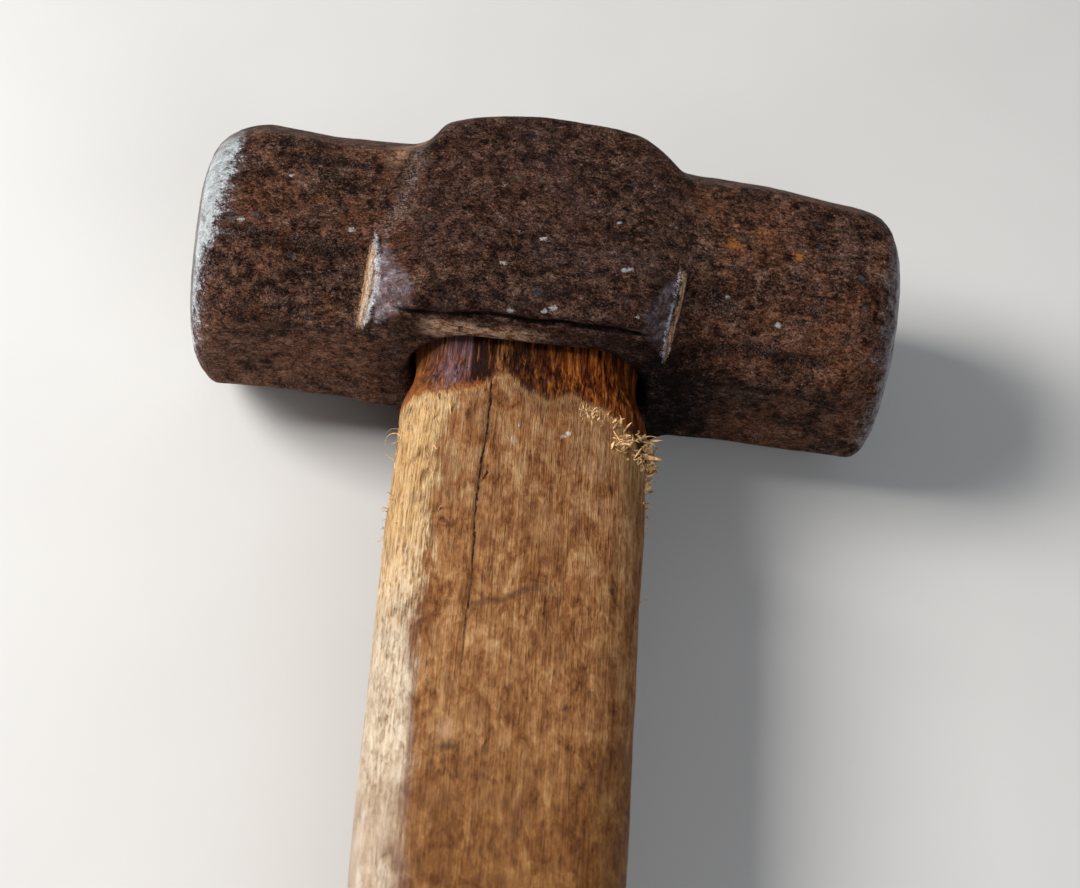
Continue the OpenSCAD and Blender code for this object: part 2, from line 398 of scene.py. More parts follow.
def project(pts, steps):
    """Moves points onto the head's surface; also gives the surface normals."""
    longest_move, probe = 0.8, 0.03
    for _ in range(steps):
        distance = head_distance(pts)
        slope = np.stack([(head_distance(pts + probe * axis) - head_distance(pts - probe * axis))
                          / (2 * probe) for axis in np.eye(3)], 1)
        move = (distance / np.maximum((slope * slope).sum(1), 0.2))[:, None] * slope
        size = np.linalg.norm(move, axis=1, keepdims=True)
        pts = pts - move * np.minimum(1, longest_move / np.maximum(size, 1e-9))
    return pts, slope / np.maximum(np.linalg.norm(slope, axis=1, keepdims=True), 1e-9)


def seed_head(voxel):
    """Even quads close to the head's surface, with the eye open."""
    around = 128
    angles = np.arange(around) * 2 * math.pi / around
    # (x, largest radius) of each ring
    stations = [(LEFT, 0.6), (LEFT, 5), (LEFT, 10.5)]
    stations += [(LEFT + fall, r) for r, fall in zip(*FACE_L) if 0.1 < fall < 8]
    stations += [(x, 60.0) for x in np.arange(LEFT + 8, RIGHT - 7.5, 0.75)]
    stations += [(RIGHT - fall, r) for r, fall in reversed(list(zip(*FACE_R))) if 0.1 < fall < 8]
    stations += [(RIGHT, 10.5), (RIGHT, 5), (RIGHT, 0.6)]
    rings = []
    for x, limit in stations:
        probe = np.stack([np.full(around, x), 20 * np.cos(angles), 20 * np.sin(angles)], 1)
        r = np.minimum(20 - side_distance(probe), limit)
        rings.append(np.stack([np.full(around, x), r * np.cos(angles), r * np.sin(angles)], 1))
    ob = mesh_object("head_visual", *loft(rings))

    around = 96
    angles = np.arange(around) * 2 * math.pi / around
    rings = []
    for y in (-26.0, -19.5, -10.0, 0.0, 10.0, 19.5, 26.0):
        length, width = eye_size(y)
        middle = (length - width) * np.sign(np.cos(angles))
        rings.append(np.stack([middle + width * np.cos(angles), np.full(around, y),
                               width * np.sin(angles)], 1))
    cutter = mesh_object("eye_cut", *loft(rings))
    fix_normals(ob)
    fix_normals(cutter)
    subtract(ob, [cutter])
    even_quads(ob, voxel)
    return ob


# ---------------------------------------------------------------- marks on the head

# angle about the head, and width of the bright worn rim of each face
RIM_L = ([0, 25, 45, 66, 90, 108, 115, 122, 127, 133, 150, 180, 225, 270, 315, 360],
         [3.6, 4.6, 5.6, 5.8, 5.2, 5.0, 4.2, 3.8, 3.0, 2.5, 2.3, 2.2, 2.4, 4.0, 3.8, 3.6])
RIM_R = ([0, 45, 80, 98, 130, 170, 200, 225, 270, 315, 360],
         [1.4, 1.6, 2.2, 3.0, 3.2, 3.0, 2.2, 2.0, 2.2, 1.8, 1.4])
# angle about the head, and x of the copper ridge (crest) and the white burr beside it
CREST_L = ([108, 113, 131, 152], [-26.1, -26.2, -26.5, -27.1])
CREST_R = ([108, 112, 124, 133, 148], [22.0, 21.9, 21.4, 21.0, 20.4])
BURR_L = ([110, 115, 122, 128, 136, 146, 152], [-26.1, -25.9, -25.3, -25.0, -25.2, -25.9, -26.5])
BURR_R = ([110, 118, 130, 145, 150], [21.3, 20.7, 20.1, 19.8, 20.1])
# y, and x of the pale streak where the block starts; angle and x of the painted copper highlight
SHOULDER = ([-8, -5.4, -3.5, -0.5, 1.4, 5.5, 8, 12],
            [-24.9, -24.1, -23.0, -22.7, -22.4, -21.7, -20.7, -20.2])
COPPER = ([30, 45, 60, 70], [-20.0, -21.2, -23.2, -24.6])
# x, and z of the crease on the head's underside
CREASE = ([-24, -18, -14, -10, -6, -1, 4, 8, 12, 16],
          [16.9, 17.3, 17.4, 18.0, 18.5, 18.2, 18.3, 18.6, 18.5, 17.9])
# pale specks: x, y, z, radius
SPECKS = (
    (-0.5, -6.2, 21.5, 0.45), (-6.2, -11.7, 21.5, 0.45), (11.2, -1.3, 21.5, 0.4),
    (12.3, -10.4, 21.5, 0.5), (13.2, -10.0, 21.5, 0.45), (-7.2, 3.4, 21.5, 0.3),
    (-4.1, -5.4, 21.5, 0.3), (0.7, -18.6, 19.8, 0.45), (1.9, -18.2, 20.3, 0.5),
    (14.9, -18.1, 20.4, 0.4), (-4.5, -18.9, 19.3, 0.5), (-46.7, -7.5, 19.1, 0.5),
    (-29.9, -6.9, 18.9, 0.5), (29.0, -10.5, 18.3, 0.45), (37.5, -12.8, 15.5, 0.5),
    (-40.2, 2.2, 19.0, 0.35))


def rim_marks(pts, phi):
    """Worn rims of both faces, the line of a painted glint on the right rim, and painted shade right
    of the block.
    """
    x, y, z = columns(pts)
    rough = noise(pts, 2.2, layers=4, seed=11, gain=0.62)
    coarse = noise(pts, 7.0, seed=12)
    from_left, from_right = x - LEFT, RIGHT - x
    left = np.interp(phi, *RIM_L) - from_left - 1.0 * rough - 0.9 * coarse
    right = np.interp(phi, *RIM_R) - from_right - 1.0 * rough - 0.7 * coarse
    # painted shade below the right of the block, beside the handle and under its near side
    soot = window(x, (15, 20), (37, 25)) * smooth(-9, -16, y) * smooth(15, 8, z)
    soot += 0.6 * window(x, (9, 14), (23, 19)) * smooth(-17, -18.5, y) * smooth(20, 15, z)
    return {
        "bevel_d": np.clip(left, -6, 6),
        "bevel_dim": smooth(74, 48, phi) + smooth(250, 320, phi) * 0.8,
        "bevel_right_d": np.clip(right, -6, 6),
        "rim_d": np.clip(from_right - 1.15 - 0.35 * rough, -3, 3),
        "rim_w": np.full(len(x), 0.62),
        "soot": soot,
    }


def corner_marks(pts, phi):
    """The necks' corners run out into the block in a ridge, a burr beside it and a flat."""
    x = pts[:, 0]
    left = x < 0
    crest_l, crest_r = np.interp(phi, *CREST_L), np.interp(phi, *CREST_R)
    burr_l, burr_r = np.interp(phi, *BURR_L), np.interp(phi, *BURR_R)
    wobble = 0.22 * noise(pts, 1.6, layers=2, seed=14)
    span_l = window(phi, (111, 118), (155, 146))
    span_r = window(phi, (110, 116), (152, 143))
    span_burr = window(phi, (108, 115), (155, 142))
    away = smooth(6, 12, np.abs(x))
    crest_w = np.where(left, (0.40 + 0.36 * bell(phi, 134, 13)) * span_l, 0.60 * span_r)
    groove_l = span_l * bell(x, (crest_l + burr_l) / 2 + wobble, 0.26) * left
    groove_r = span_r * bell(x, crest_r + 0.85, 0.3) * 0.7

    def facet(run, wide, drift, fade):
        """Flat that narrows and fades to a point as run goes from 0 to 1."""
        half = wide * (1 - run) + 1.5
        across = smooth(half + 3.5, half - 3, np.abs(phi - 131 - drift * run))
        return smooth(1, 0.7, run) * across * (1 - fade * run)

    facet_l = facet(np.clip((x + 24.8) / 6.6, 0, 1), wide=15, drift=3, fade=0.72)
    facet_r = facet(np.clip((20.6 - x) / 6.0, 0, 1), wide=14, drift=2, fade=0.60)
    return {
        "crest_d": np.clip(np.where(left, x - crest_l, x - crest_r) + wobble, -3, 3),
        "crest_w": away * crest_w,
        "white_d": np.clip(np.where(left, x - burr_l, x - burr_r) + wobble, -3, 3),
        "white_w": away * np.where(left, 0.60 * span_burr, 0.34 * span_r),
        "crest": np.where(left, span_l * bell(x, crest_l + wobble, 0.5),
                          span_r * bell(x, crest_r + wobble, 0.45)),
        "crest_white": np.where(left, span_burr * bell(x, burr_l + wobble, 0.42),
                                0.6 * span_r * bell(x, burr_r + wobble, 0.5)),
        "facet": np.maximum(smooth(-25.4, -24.4, x) * facet_l,
                            0.8 * smooth(20.9, 20.0, x) * facet_r),
        "groove": np.maximum(groove_l, groove_r),
    }


def stain_marks(pts, phi):
    """Streaks, dark lines where the necks' planes meet, the pale shoulder, a painted copper
    highlight, orange spots and specks.
    """
    x, y, z = columns(pts)
    along = pts * [1, 0, 0]
    streak = np.interp(y, *SHOULDER) + 1.2 * noise(pts, 3.0, layers=2, seed=15)
    dark_l = (bell(phi, 119.0 + 3.4 * noise(along, 6.0, seed=16), 3.6)
              * window(x, (-52, -48), (-27.5, -30)))
    dark_l2 = (0.9 * bell(phi, 72 + 1.5 * noise(along, 5.0, layers=2, seed=17), 2.0)
               * window(x, (-45, -39), (-21, -25)))
    dark_r = (bell(phi, 143 + 2 * noise(along, 5.0, layers=2, seed=18), 2.6)
              * window(x, (23, 27), (50, 44)))
    patch = spots(x, phi, (27.2, 121, 3.2, 7.5, 0.9))
    orange = spots(x, y, (29.6, -0.8, 1.5, 1.3, 1), (40.0, -1.6, 1.3, 1.2, 1),
                   (34.5, 2.0, 3.2, 1.2, 0.6), (-35, -1.5, 2.2, 1.6, 0.5))
    dots = np.zeros(len(pts))
    for *centre, radius in SPECKS:
        off = (pts - centre) * [0.75, 1, 1]
        dots = np.maximum(dots, np.exp(-((off * off).sum(1)) / radius**2))
    dark = np.maximum(np.maximum(dark_l, dark_l2), 0.8 * dark_r)
    return {
        "shoulder": bell(x, streak, 1.15) * window(y, (-9, -6), (13, 9)) * (z > 0),
        "copper": bell(x, np.interp(phi, *COPPER), 1.7) * window(phi, (26, 36), (76, 64)),
        "dark": np.clip(dark + patch, 0, 1),
        "orange": orange * (z > 0),
        "speck": dots,
    }


def eye_marks(pts, phi, normals):
    """Crease and lip on the underside, painted shade in the eye, and the zones of face, block and
    neck.
    """
    x, y, z = columns(pts)
    radius = np.hypot(y, z)
    path = np.interp(x, *CREASE) - 0.5 + 0.5 * noise(pts * [1, 0, 0], 4.0, layers=2, seed=21)
    crease = bell(z, path, 0.62) * window(x, (-28, -23), (19, 15))
    crease *= smooth(0.55, 0.85, -normals[:, 1]) * (0.65 + 0.35 * smooth(-6, 4, x))
    lip = window(z, (10.4, 11.6), (16.4, 14.6)) * window(x, (-19.5, -14), (5.0, -3.5))
    face_l = smooth(17.5, 14.5, radius) * smooth(1.2, 0.5, x - LEFT)
    face_r = smooth(17.0, 14.0, radius) * smooth(1.2, 0.5, RIGHT - x)
    return {
        "crease": crease,
        "lip": lip * smooth(-16, -18, y),
        # where painted shade darkens the eye's walls round the handle
        "eye": smooth(0.4, -0.7, np.abs(eye_distance(pts)) - 1.0) * smooth(17.2, 16.0, -y),
        "face": np.maximum(face_l, face_r),
        "block": window(x, (-26, -18), (26, 18)),
        # where painted light lightens the underside of the left neck
        "under": window(phi, (150, 172), (250, 225)) * smooth(-16, -24, x),
    }


def head_lift(pts, normals, marks):
    """How far each point moves out along its normal, in mm."""
    x, y, z = columns(pts)
    # the cheeks' middles and the faces' middles stay flat
    seat = smooth(17.5, 13.5, np.abs(x)) * smooth(0.97, 0.995, np.abs(normals[:, 2]))
    flat = np.maximum(seat, smooth(0.97, 0.995, np.abs(normals[:, 0])))
    calm = 1 - 0.75 * flat
    lift = 0.20 * noise(pts, 15.0, layers=2, seed=41) * calm
    lift += 0.12 * noise(pts, 5.5, layers=2, seed=42) * calm
    lift += 0.045 * noise(pts, 1.7, seed=43, gain=0.6)
    lift += 0.045 * noise(pts, [9.0, 0.9, 0.9], seed=44) * (1 - marks["block"])
    lift -= 0.10 * dents(pts, 2.6, seed=50, reach=(0.42, 0.10), above=0.45)
    lift -= 0.22 * dents(pts, 9.0, seed=60, reach=(0.28, 0.02), above=0.72) * calm
    # the faces have been struck: shallow flats and bruises
    lift -= 0.10 * dents(pts, [4.0, 6.0, 6.0], seed=70, reach=(0.5, 0.1)) * marks["face"]
    # marks where the neck's corner runs out into the block
    lift += 0.34 * marks["crest"] + 0.30 * marks["crest_white"] - 0.08 * marks["groove"]
    lift -= 0.22 * marks["dark"] * (marks["block"] < 0.98)
    # crease between the block's ridge and the lip round the eye, and swellings beside it
    lift -= 0.75 * marks["crease"]
    under = smooth(0.5, 0.85, -normals[:, 1])
    lift += 0.42 * under * bell(z, 13.6, 2.0) * window(x, (-22, -16), (13, 5))
    lift += under * 0.7 * bell(x, -23.5, 2.6) * bell(z, -9.0, 2.6)
    lift += under * 0.5 * bell(x, -25.0, 2.4) * bell(z, 5.5, 3.2)
    lift -= under * 0.5 * bell(x, -21.5, 1.3) * bell(z, -3.0, 3.0)
    # the worn rim of the left face is bruised over, and both rims are chipped
    off_face = smooth(0.99, 0.93, np.abs(normals[:, 0]))
    rim = smooth(9.0, 5.0, x - LEFT) * off_face
    rims = np.maximum(rim, smooth(7.0, 4.0, RIGHT - x) * off_face)
    lift += 0.22 * rim * noise(pts, 3.4, seed=45)
    lift -= 0.35 * dents(pts, 5.0, seed=80, reach=(0.34, 0.05), above=0.6) * rims
    inside = smooth(0.2, -1.2, np.abs(eye_distance(pts)) - 1.4) * smooth(19.0, 17.0, np.abs(y))
    lift *= 1 - inside
    # nothing stands proud of the CAD's flat seats
    return np.where(flat > 0.5, np.minimum(lift, 0.0), lift)


def build_head():
    ob = seed_head(0.493)
    edges = edges_of(ob.data)
    pts, normals = project(get_mm(ob.data), steps=5)
    # even out the quads by sliding points along the surface
    for _ in range(2):
        move = neighbour_mean(pts, edges) - pts
        pts = pts + 0.6 * (move - (move * normals).sum(1)[:, None] * normals)
        pts, normals = project(pts, steps=2)
    phi = angle_about_x(pts[:, 1], pts[:, 2])
    marks = (rim_marks(pts, phi) | corner_marks(pts, phi) | stain_marks(pts, phi)
             | eye_marks(pts, phi, normals))
    lift = head_lift(pts, normals, marks)
    set_mm(ob.data, pts + lift[:, None] * normals)
    marks["low"] = smooth(0.02, -0.25, lift)
    put_attributes(ob.data, marks)
    return ob


# ---------------------------------------------------------------- handle shape

HALF_W, HALF_T = 19.5, 13.0  # half width and thickness below the head
GRIP_W, GRIP_T = 18.0, 13.0  # and low on the grip
EYE_GAP = 0.06

# x, and y of the old varnish's broken edge
VARNISH_EDGE = (
    [-20, -18.9, -17.0, -15.2, -12.2, -9.3, -7.1, -5.4, -3.3, -0.1, 2.9, 6.7, 9.0, 11.4, 13.7,
     16.1, 17.7, 20],
    [-27.6, -27.9, -28.3, -28.6, -28.8, -28.1, -27.6, -25.4, -25.6, -28.6, -29.3, -28.0, -28.8,
     -29.7, -30.7, -32.7, -35.2, -36])
# y, and x of the long crack; y and half width factor of it; y and x of its short fork
CRACK_PATH = ([-78.7, -72.3, -68.0, -62.3, -56.3, -51.6, -44.7, -41.3, -37.0, -31.0, -25.9],
              [-6.9, -6.8, -6.8, -6.5, -6.6, -6.8, -6.7, -6.4, -6.1, -6.0, -6.0])
CRACK_WIDTH = ([-79, -70, -52, -44.5, -42, -36, -30, -24.5],
               [0.06, 0.09, 0.13, 0.17, 0.12, 0.19, 0.13, 0.08])
FORK_PATH = ([-45.5, -44.0, -42.5], [-6.3, -5.6, -5.5])
# y, and x of the worn left side's edge; y and softness of that edge
PALE_EDGE = ([-110, -91, -82, -72, -56, -49, -40, -30],
             [-13.0, -13.2, -13.8, -14.3, -13.4, -13.6, -12.6, -11.6])
PALE_SOFT = ([-100, -60, -40], [2.6, 2.6, 3.2])
# spots on the upper side: x, y, width x, width y, strength
WHITE_SPOTS = (
    (5.3, -36.1, 0.55, 0.38, 0.8), (6.4, -35.4, 0.6, 0.40, 0.9), (-1.4, -35.1, 0.3, 0.6, 0.8),
    (12, -41.7, 0.5, 0.35, 0.6), (-2.3, -38.3, 0.3, 1.6, 0.55), (11.2, -39.6, 0.5, 1.0, 0.5))
RED_SPOTS = ((6.7, -39.2, 1.1, 1.6, 0.8), (1.6, -31.6, 0.9, 1.0, 0.6), (-13, -44, 0.4, 1.0, 0.5))
DARK_SPOTS = (
    (14.2, -61.0, 0.7, 0.8, 1.0), (8.2, -81.0, 0.6, 0.9, 0.8), (8.6, -103.5, 0.5, 1.0, 0.7),
    (13.4, -103.0, 0.9, 0.4, 0.8), (13.5, -121.0, 0.7, 1.2, 0.7), (-11.8, -76.5, 0.4, 1.2, 0.7),
    (-10.8, -53.5, 0.4, 0.6, 0.7), (-16.0, -57.5, 0.35, 0.9, 0.8), (-9.2, -33.5, 0.55, 1.5, 0.9),
    (2.5, -92.0, 0.5, 0.9, 0.5), (-2.0, -110.0, 0.6, 0.9, 0.5))


def stadium_radius(angle, width, thick):
    """Radius at an angle of a section with flat long sides and half-round ends."""
    cos, sin = np.abs(np.cos(angle)), np.abs(np.sin(angle))
    centre = width - thick
    flat = thick / np.maximum(sin, 1e-6)
    part = cos * centre
    root = np.sqrt(np.maximum(part * part - (centre * centre - thick * thick), 0))
    return np.where(flat * cos <= centre, flat, part + root)


def super_radius(angle, width, thick, power):
    """Radius at an angle of a rounded-off rectangle."""
    across, up = np.abs(np.cos(angle) / width), np.abs(np.sin(angle) / thick)
    return (across**power + up**power) ** (-1 / power)


def handle_size(y):
    """Half width and half thickness of the handle below the head."""
    down = UNDER - y
    length = UNDER - BUTT_Y
    middle = length - 60
    swell = smooth(middle, length - 12, down)
    width = np.where(down < 60, HALF_W,
                     np.where(down < middle, HALF_W + (GRIP_W - HALF_W) * smooth(60, middle, down),
                              GRIP_W + 1.4 * swell))
    mouth = EYE_WIDE + EYE_FLARE
    thick = np.where(down < 14, mouth + (HALF_T - mouth) * smooth(-1, 14, down),
                     np.where(down < middle, HALF_T + (GRIP_T - HALF_T) * smooth(14, middle, down),
                              GRIP_T + 1.2 * swell))
    return width, thick


def handle_radius(angle, y):
    """Radius of the handle at an angle and y, before any wear."""
    eye_long, eye_wide = (size - EYE_GAP for size in eye_size(y))
    width, thick = handle_size(y)
    down = UNDER - y
    grip = super_radius(angle, width, thick, 3.1 + 0.5 * smooth(10, 40, down))
    neck = stadium_radius(angle, eye_long + (width - eye_long) * smooth(0, 9, down), thick)
    return np.where(y > UNDER, stadium_radius(angle, eye_long, eye_wide),
                    neck + (grip - neck) * smooth(0, 16, down))


def handle_marks(pts, angle):
    """Where each kind of wear or mark lies on the handle."""
    x, y, z = columns(pts)
    upper = smooth(-0.2, 0.3, np.sin(angle))
    marks = {}
    # edge of the old varnish left at the head, broken along the grain
    edge = np.interp(x, *VARNISH_EDGE)
    edge = np.where(np.sin(angle) > 0, edge, edge - 2.0 * np.sin(angle) ** 2 * np.cos(3 * angle))
    line = edge + 0.75 * noise(pts, [0.7, 5.0, 0.7], seed=101)
    line += 0.35 * noise(pts, 1.6, layers=2, seed=102)
    varnish = smooth(-0.45, 0.45, y - line)
    bare = 1 - varnish
    marks["varnish"] = varnish
    marks["varnish_d"] = np.clip(y - line, -8, 8)
    marks["band_edge"] = bell(y, line - 0.7, 0.9)
    marks["band_soft"] = smooth(-4.2, -0.3, y - line)
    marks["scuff"] = spots(x, y, (-16.2, -26.5, 0.35, 1.6, 1)) * (z > 0)
    # long crack down the upper side
    off = x - np.interp(y, *CRACK_PATH)
    off = off - 0.12 * noise(pts * [0, 1, 0], 2.2, layers=2, seed=103)
    width = np.interp(y, *CRACK_WIDTH)
    run = window(y, (-80, -73), (-24.5, -26.5)) * upper
    fork = x - np.interp(y, *FORK_PATH)
    fork_run = window(y, (-46, -45), (-42.0, -43.2)) * upper
    marks["crack"] = np.maximum(bell(off, 0, 0.30) * run * (0.4 + 2.6 * width),
                                0.6 * bell(fork, 0, 0.25) * fork_run)
    marks["crack_d"] = np.clip(off, -3, 3)
    marks["crack_w"] = 0.95 * width * run
    marks["fork_d"] = np.clip(fork, -3, 3)
    marks["fork_w"] = 0.16 * fork_run
    # short checks: fine splits along the grain, more of them near the head
    checks = dents(pts, [1.6, 9.0, 1.6], seed=110, reach=(0.16, 0.05), above=0.62)
    marks["check"] = checks * smooth(-85, -35, y) * bare
    # sides worn raw
    soft = np.interp(y, *PALE_SOFT)
    from_edge = x - np.interp(y, *PALE_EDGE) + 1.1 * noise(pts, [2, 9, 2], layers=2, seed=104)
    left = smooth(soft, -soft, from_edge) * smooth(-9, 2, z)
    right = smooth(12.0, 16.5, x + 0.8 * noise(pts, [2, 10, 2], layers=2, seed=105))
    right = right * smooth(-6, 3, z)
    marks["pale"] = left * bare
    marks["pale_low"] = marks["pale"] * smooth(-58, -80, y)
    marks["fray"] = bare * np.maximum(right * window(y, (-48, -38), (-29, -31)),
                                      0.8 * left * window(y, (-66, -50), (-30, -33)))
    marks["low"] = smooth(-70, -110, y)
    marks["white"] = spots(x, y, *WHITE_SPOTS) * upper
    marks["red"] = spots(x, y, *RED_SPOTS) * upper
    rise = 4.5 * np.clip((x + 5.7) / 9.8, 0, 1)
    marks["smudge"] = (bell(y, -66.6 + rise + 0.4 * np.sin(x), 0.75)
                       * window(x, (-6.3, -5.2), (5.0, 3.2)) * upper)
    marks["chip"] = spots(x, y, (-8.3, -86.1, 1.1, 1.5, 1)) * upper
    marks["chip_dark"] = spots(x, y, (-7.9, -88.7, 1.7, 0.7, 1)) * upper
    marks["mark"] = spots(x, y, *DARK_SPOTS) * upper
    return marks


def handle_rings(quick):
    """Rings of points from the sawn end to the butt, shrinking to the middle at both ends."""
    around = 180 if quick else 326
    turn = np.arange(around) / around * 2 * math.pi
    # more columns on the upper side than below
    angles = turn - 0.28 * np.cos(turn) + 0.28
    angles = angles - 0.10 * np.sin(2 * angles)
    step = 2.2 if quick else 1.0
    ys = [END_Y - 0.35, END_Y - 0.9]
    ys += list(np.arange(END_Y - 2.6, UNDER + 1.2, -2.0))
    ys += list(np.arange(UNDER + 1.0, -52, -0.44 * step))
    ys += list(np.arange(-52, -112, -0.78 * step))
    ys += list(np.arange(-112, BUTT_Y + 9, -1.45 * step))
    ys += [BUTT_Y + rise for rise in (7.4, 5.8, 4.4, 3.2, 2.2, 1.4, 0.8, 0.35, 0.08)]
    rings = []
    for y in np.array(sorted(set(np.round(ys, 4)), reverse=True)):
        r = handle_radius(angles, np.full(around, max(y, BUTT_Y + 3.8)))
        if y < BUTT_Y + 4.4:  # round over to the butt
            part = (BUTT_Y + 4.4 - y) / 4.4
            r = r - 3.4 * (1 - math.sqrt(max(0, 1 - part * part * 0.97)))
        if y > END_Y - 0.6:
            r = r - 0.45
        rings.append(np.stack([r * np.cos(angles), np.full(around, y), r * np.sin(angles)], 1))

    def cap(ring, y, count):
        flat = ring.copy()
        flat[:, 1] = y
        return [flat * [s, 1, s] for s in np.linspace(0.94, 0.04, count)]

    top = cap(rings[0], END_Y, 6 if quick else 12)
    bottom = cap(rings[-1], BUTT_Y, 8 if quick else 16)
    return top[::-1] + rings + bottom


def handle_lift(pts, marks):
    """How far each point moves out from the section, in mm."""
    x, y, _ = columns(pts)
    varnish, fray = marks["varnish"], marks["fray"]
    body = window(y, (END_Y - 1.0, END_Y - 3.0), (BUTT_Y + 0.3, BUTT_Y + 3.0))
    below = smooth(UNDER - 0.2, UNDER - 4.0, y)
    bare = (1 - varnish) * body
    raw = smooth(-120, -60, y)
    lift = 0.30 * noise(pts, [9, 60, 9], layers=2, seed=120) * below * body
    lift += (0.055 + 0.055 * raw) * bare * noise(pts, [0.75, 9, 0.75], seed=121, gain=0.6)
    lift += 0.035 * body * noise(pts, [0.6, 5, 0.6], layers=2, seed=122) * varnish
    # the bare wood is scraped a little below the varnish
    lift -= 0.22 * bare * smooth(-50, -33, y)
    lift += 0.14 * bare * marks["band_edge"] * noise(pts, [0.6, 3.0, 0.6], layers=2, seed=123)
    lift += 0.20 * fray * noise(pts, [0.9, 14, 0.9], seed=124)
    lift += 0.12 * fray * noise(pts, [0.5, 2.0, 0.5], layers=2, seed=125)
    lift -= 0.55 * marks["crack"] + 0.35 * marks["check"]
    fibres = noise(pts, [1.1, 8, 1.1], seed=129, gain=0.6)
    lift += 0.20 * marks["pale"] * smooth(-75, -50, y) * fibres
    lift -= 0.18 * marks["chip"] + 0.22 * marks["chip_dark"]
    lift += 0.06 * bare * noise(pts, [3.0, 3.5, 3.0], layers=2, seed=126)
    # long soft hollows and dents, and a flatter right side low on the grip
    hollows = dents(pts, [11, 26, 11], seed=130, reach=(0.30, 0.03), above=0.55)
    lift -= 0.35 * hollows * below * body
    lift -= 0.45 * smooth(11, 17, x) * smooth(-45, -62, y) * body
    # the tenon is shaved clear of the eye's mouth at its two ends
    shave = window(y, (UNDER + 7, UNDER + 0.5), (UNDER - 9, UNDER - 2))
    lift -= shave * (0.85 * smooth(12.5, 17.5, np.abs(x)) + 0.22)
    # nothing swells inside the eye
    return lift * np.where((y > UNDER - 1) & (lift > 0), smooth(UNDER, UNDER - 3, y), 1.0)


def build_handle():
    pts, faces = loft(handle_rings(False))
    x, y, z = columns(pts)
    marks = handle_marks(pts, np.arctan2(z, x))
    # outward direction of the section, square to its outline
    width, thick = handle_size(y)
    out_x = np.sign(x) * (np.abs(x) / width) ** 2.2 / width
    out_z = np.sign(z) * (np.abs(z) / thick) ** 2.2 / thick
    outward = np.stack([out_x, np.zeros(len(pts)), out_z], 1)
    outward /= np.maximum(np.linalg.norm(outward, axis=1, keepdims=True), 1e-9)
    pts = pts + handle_lift(pts, marks)[:, None] * outward
    # rough end grain
    pts[:, 1] += np.where(y > END_Y - 0.01, -0.10 - 0.10 * noise(pts, 1.2, seed=127), 0)
    pts[:, 1] += np.where(y < BUTT_Y + 0.05, 0.10 + 0.10 * noise(pts, 1.4, seed=128), 0)
    ob = mesh_object("handle_visual", pts, faces)
    fix_normals(ob)
    marks["end_grain"] = np.where((y > END_Y - 0.3) | (y < BUTT_Y + 0.1), 1.0, 0.0)
    marks["tenon"] = smooth(UNDER - 0.5, UNDER + 1.5, y)
    put_attributes(ob.data, marks)
    return ob


# ---------------------------------------------------------------- material helpers


def feed(socket, value):
    """Links a Field to an input, or sets the input to a number or a colour."""
    if isinstance(value, Field):
        socket.id_data.links.new(value.socket, socket)
    elif isinstance(value, tuple):
        socket.default_value = (*value, 1.0)
    else:
        socket.default_value = value


def calc(operation, *values, clamp=False):
    """Math node over Fields and numbers."""
    tree = next(v.tree for v in values if isinstance(v, Field))
    node = tree.nodes.new("ShaderNodeMath")
    node.operation = operation
    node.use_clamp = clamp
    for socket, value in zip(node.inputs, values):
        feed(socket, value)
    return Field(node.outputs[0])


def most(first, *others):
    for other in others:
        first = calc("MAXIMUM", first, other)
    return first


def blend(*pairs):
    """(weight, noise) pairs, spread evenly about a half so that 0 to 1 is used in full."""
    scale = 1.74 / math.sqrt(sum(weight * weight for weight, _ in pairs))
    out = 0.5
    for weight, field in pairs:
        out = calc("MULTIPLY_ADD", field - 0.5, weight * scale, out)
    return out


class Field:
    """A value or colour over the surface. Arithmetic on it adds nodes."""

    def __init__(self, socket):
        self.socket = socket
        self.tree = socket.id_data

    def __add__(self, other):
        return calc("ADD", self, other)

    def __radd__(self, other):
        return calc("ADD", other, self)

    def __sub__(self, other):
        return calc("SUBTRACT", self, other)

    def __mul__(self, other):
        return calc("MULTIPLY", self, other)

    def __truediv__(self, other):
        return calc("DIVIDE", self, other)

    def __abs__(self):
        return calc("ABSOLUTE", self)

    def inverse(self):
        return calc("SUBTRACT", 1.0, self, clamp=True)

    def sway(self, width):
        """A noise moved to lie about zero, width mm or units from end to end."""
        return (self - 0.5) * width

    def spread(self):
        return blend((1.0, self))

    def mask(self, off, on, top=1.0):
        """Soft step: 0 where the field is at off, top where it is at on."""
        node = self.tree.nodes.new("ShaderNodeMapRange")
        node.interpolation_type = "SMOOTHSTEP"
        feed(node.inputs[0], self)
        limits = (on, off, top, 0.0) if on < off else (off, on, 0.0, top)
        for i, limit in enumerate(limits):
            node.inputs[i + 1].default_value = limit
        return Field(node.outputs[0])

    def ramp(self, *stops):
        """Colour from (position, colour) stops."""
        node = self.tree.nodes.new("ShaderNodeValToRGB")
        elements = node.color_ramp.elements
        while len(elements) < len(stops):
            elements.new(0.5)
        for element, (position, colour) in zip(elements, stops):
            element.position = position
            element.color = (*colour, 1.0)
        feed(node.inputs[0], self)
        return Field(node.outputs[0])

    def mix(self, zero, one):
        """Goes from the first colour to the second as this field goes from 0 to 1."""
        node = self.tree.nodes.new("ShaderNodeMix")
        node.data_type = "RGBA"
        node.clamp_factor = True
        for i, value in ((0, self), (6, zero), (7, one)):
            feed(node.inputs[i], value)
        return Field(node.outputs[2])

    def coats(self, *coats):
        """Lays (colour, where times strength) coats over this colour, in order."""
        colour = self
        for tint, where in coats:
            colour = where.mix(colour, tint)
        return colour


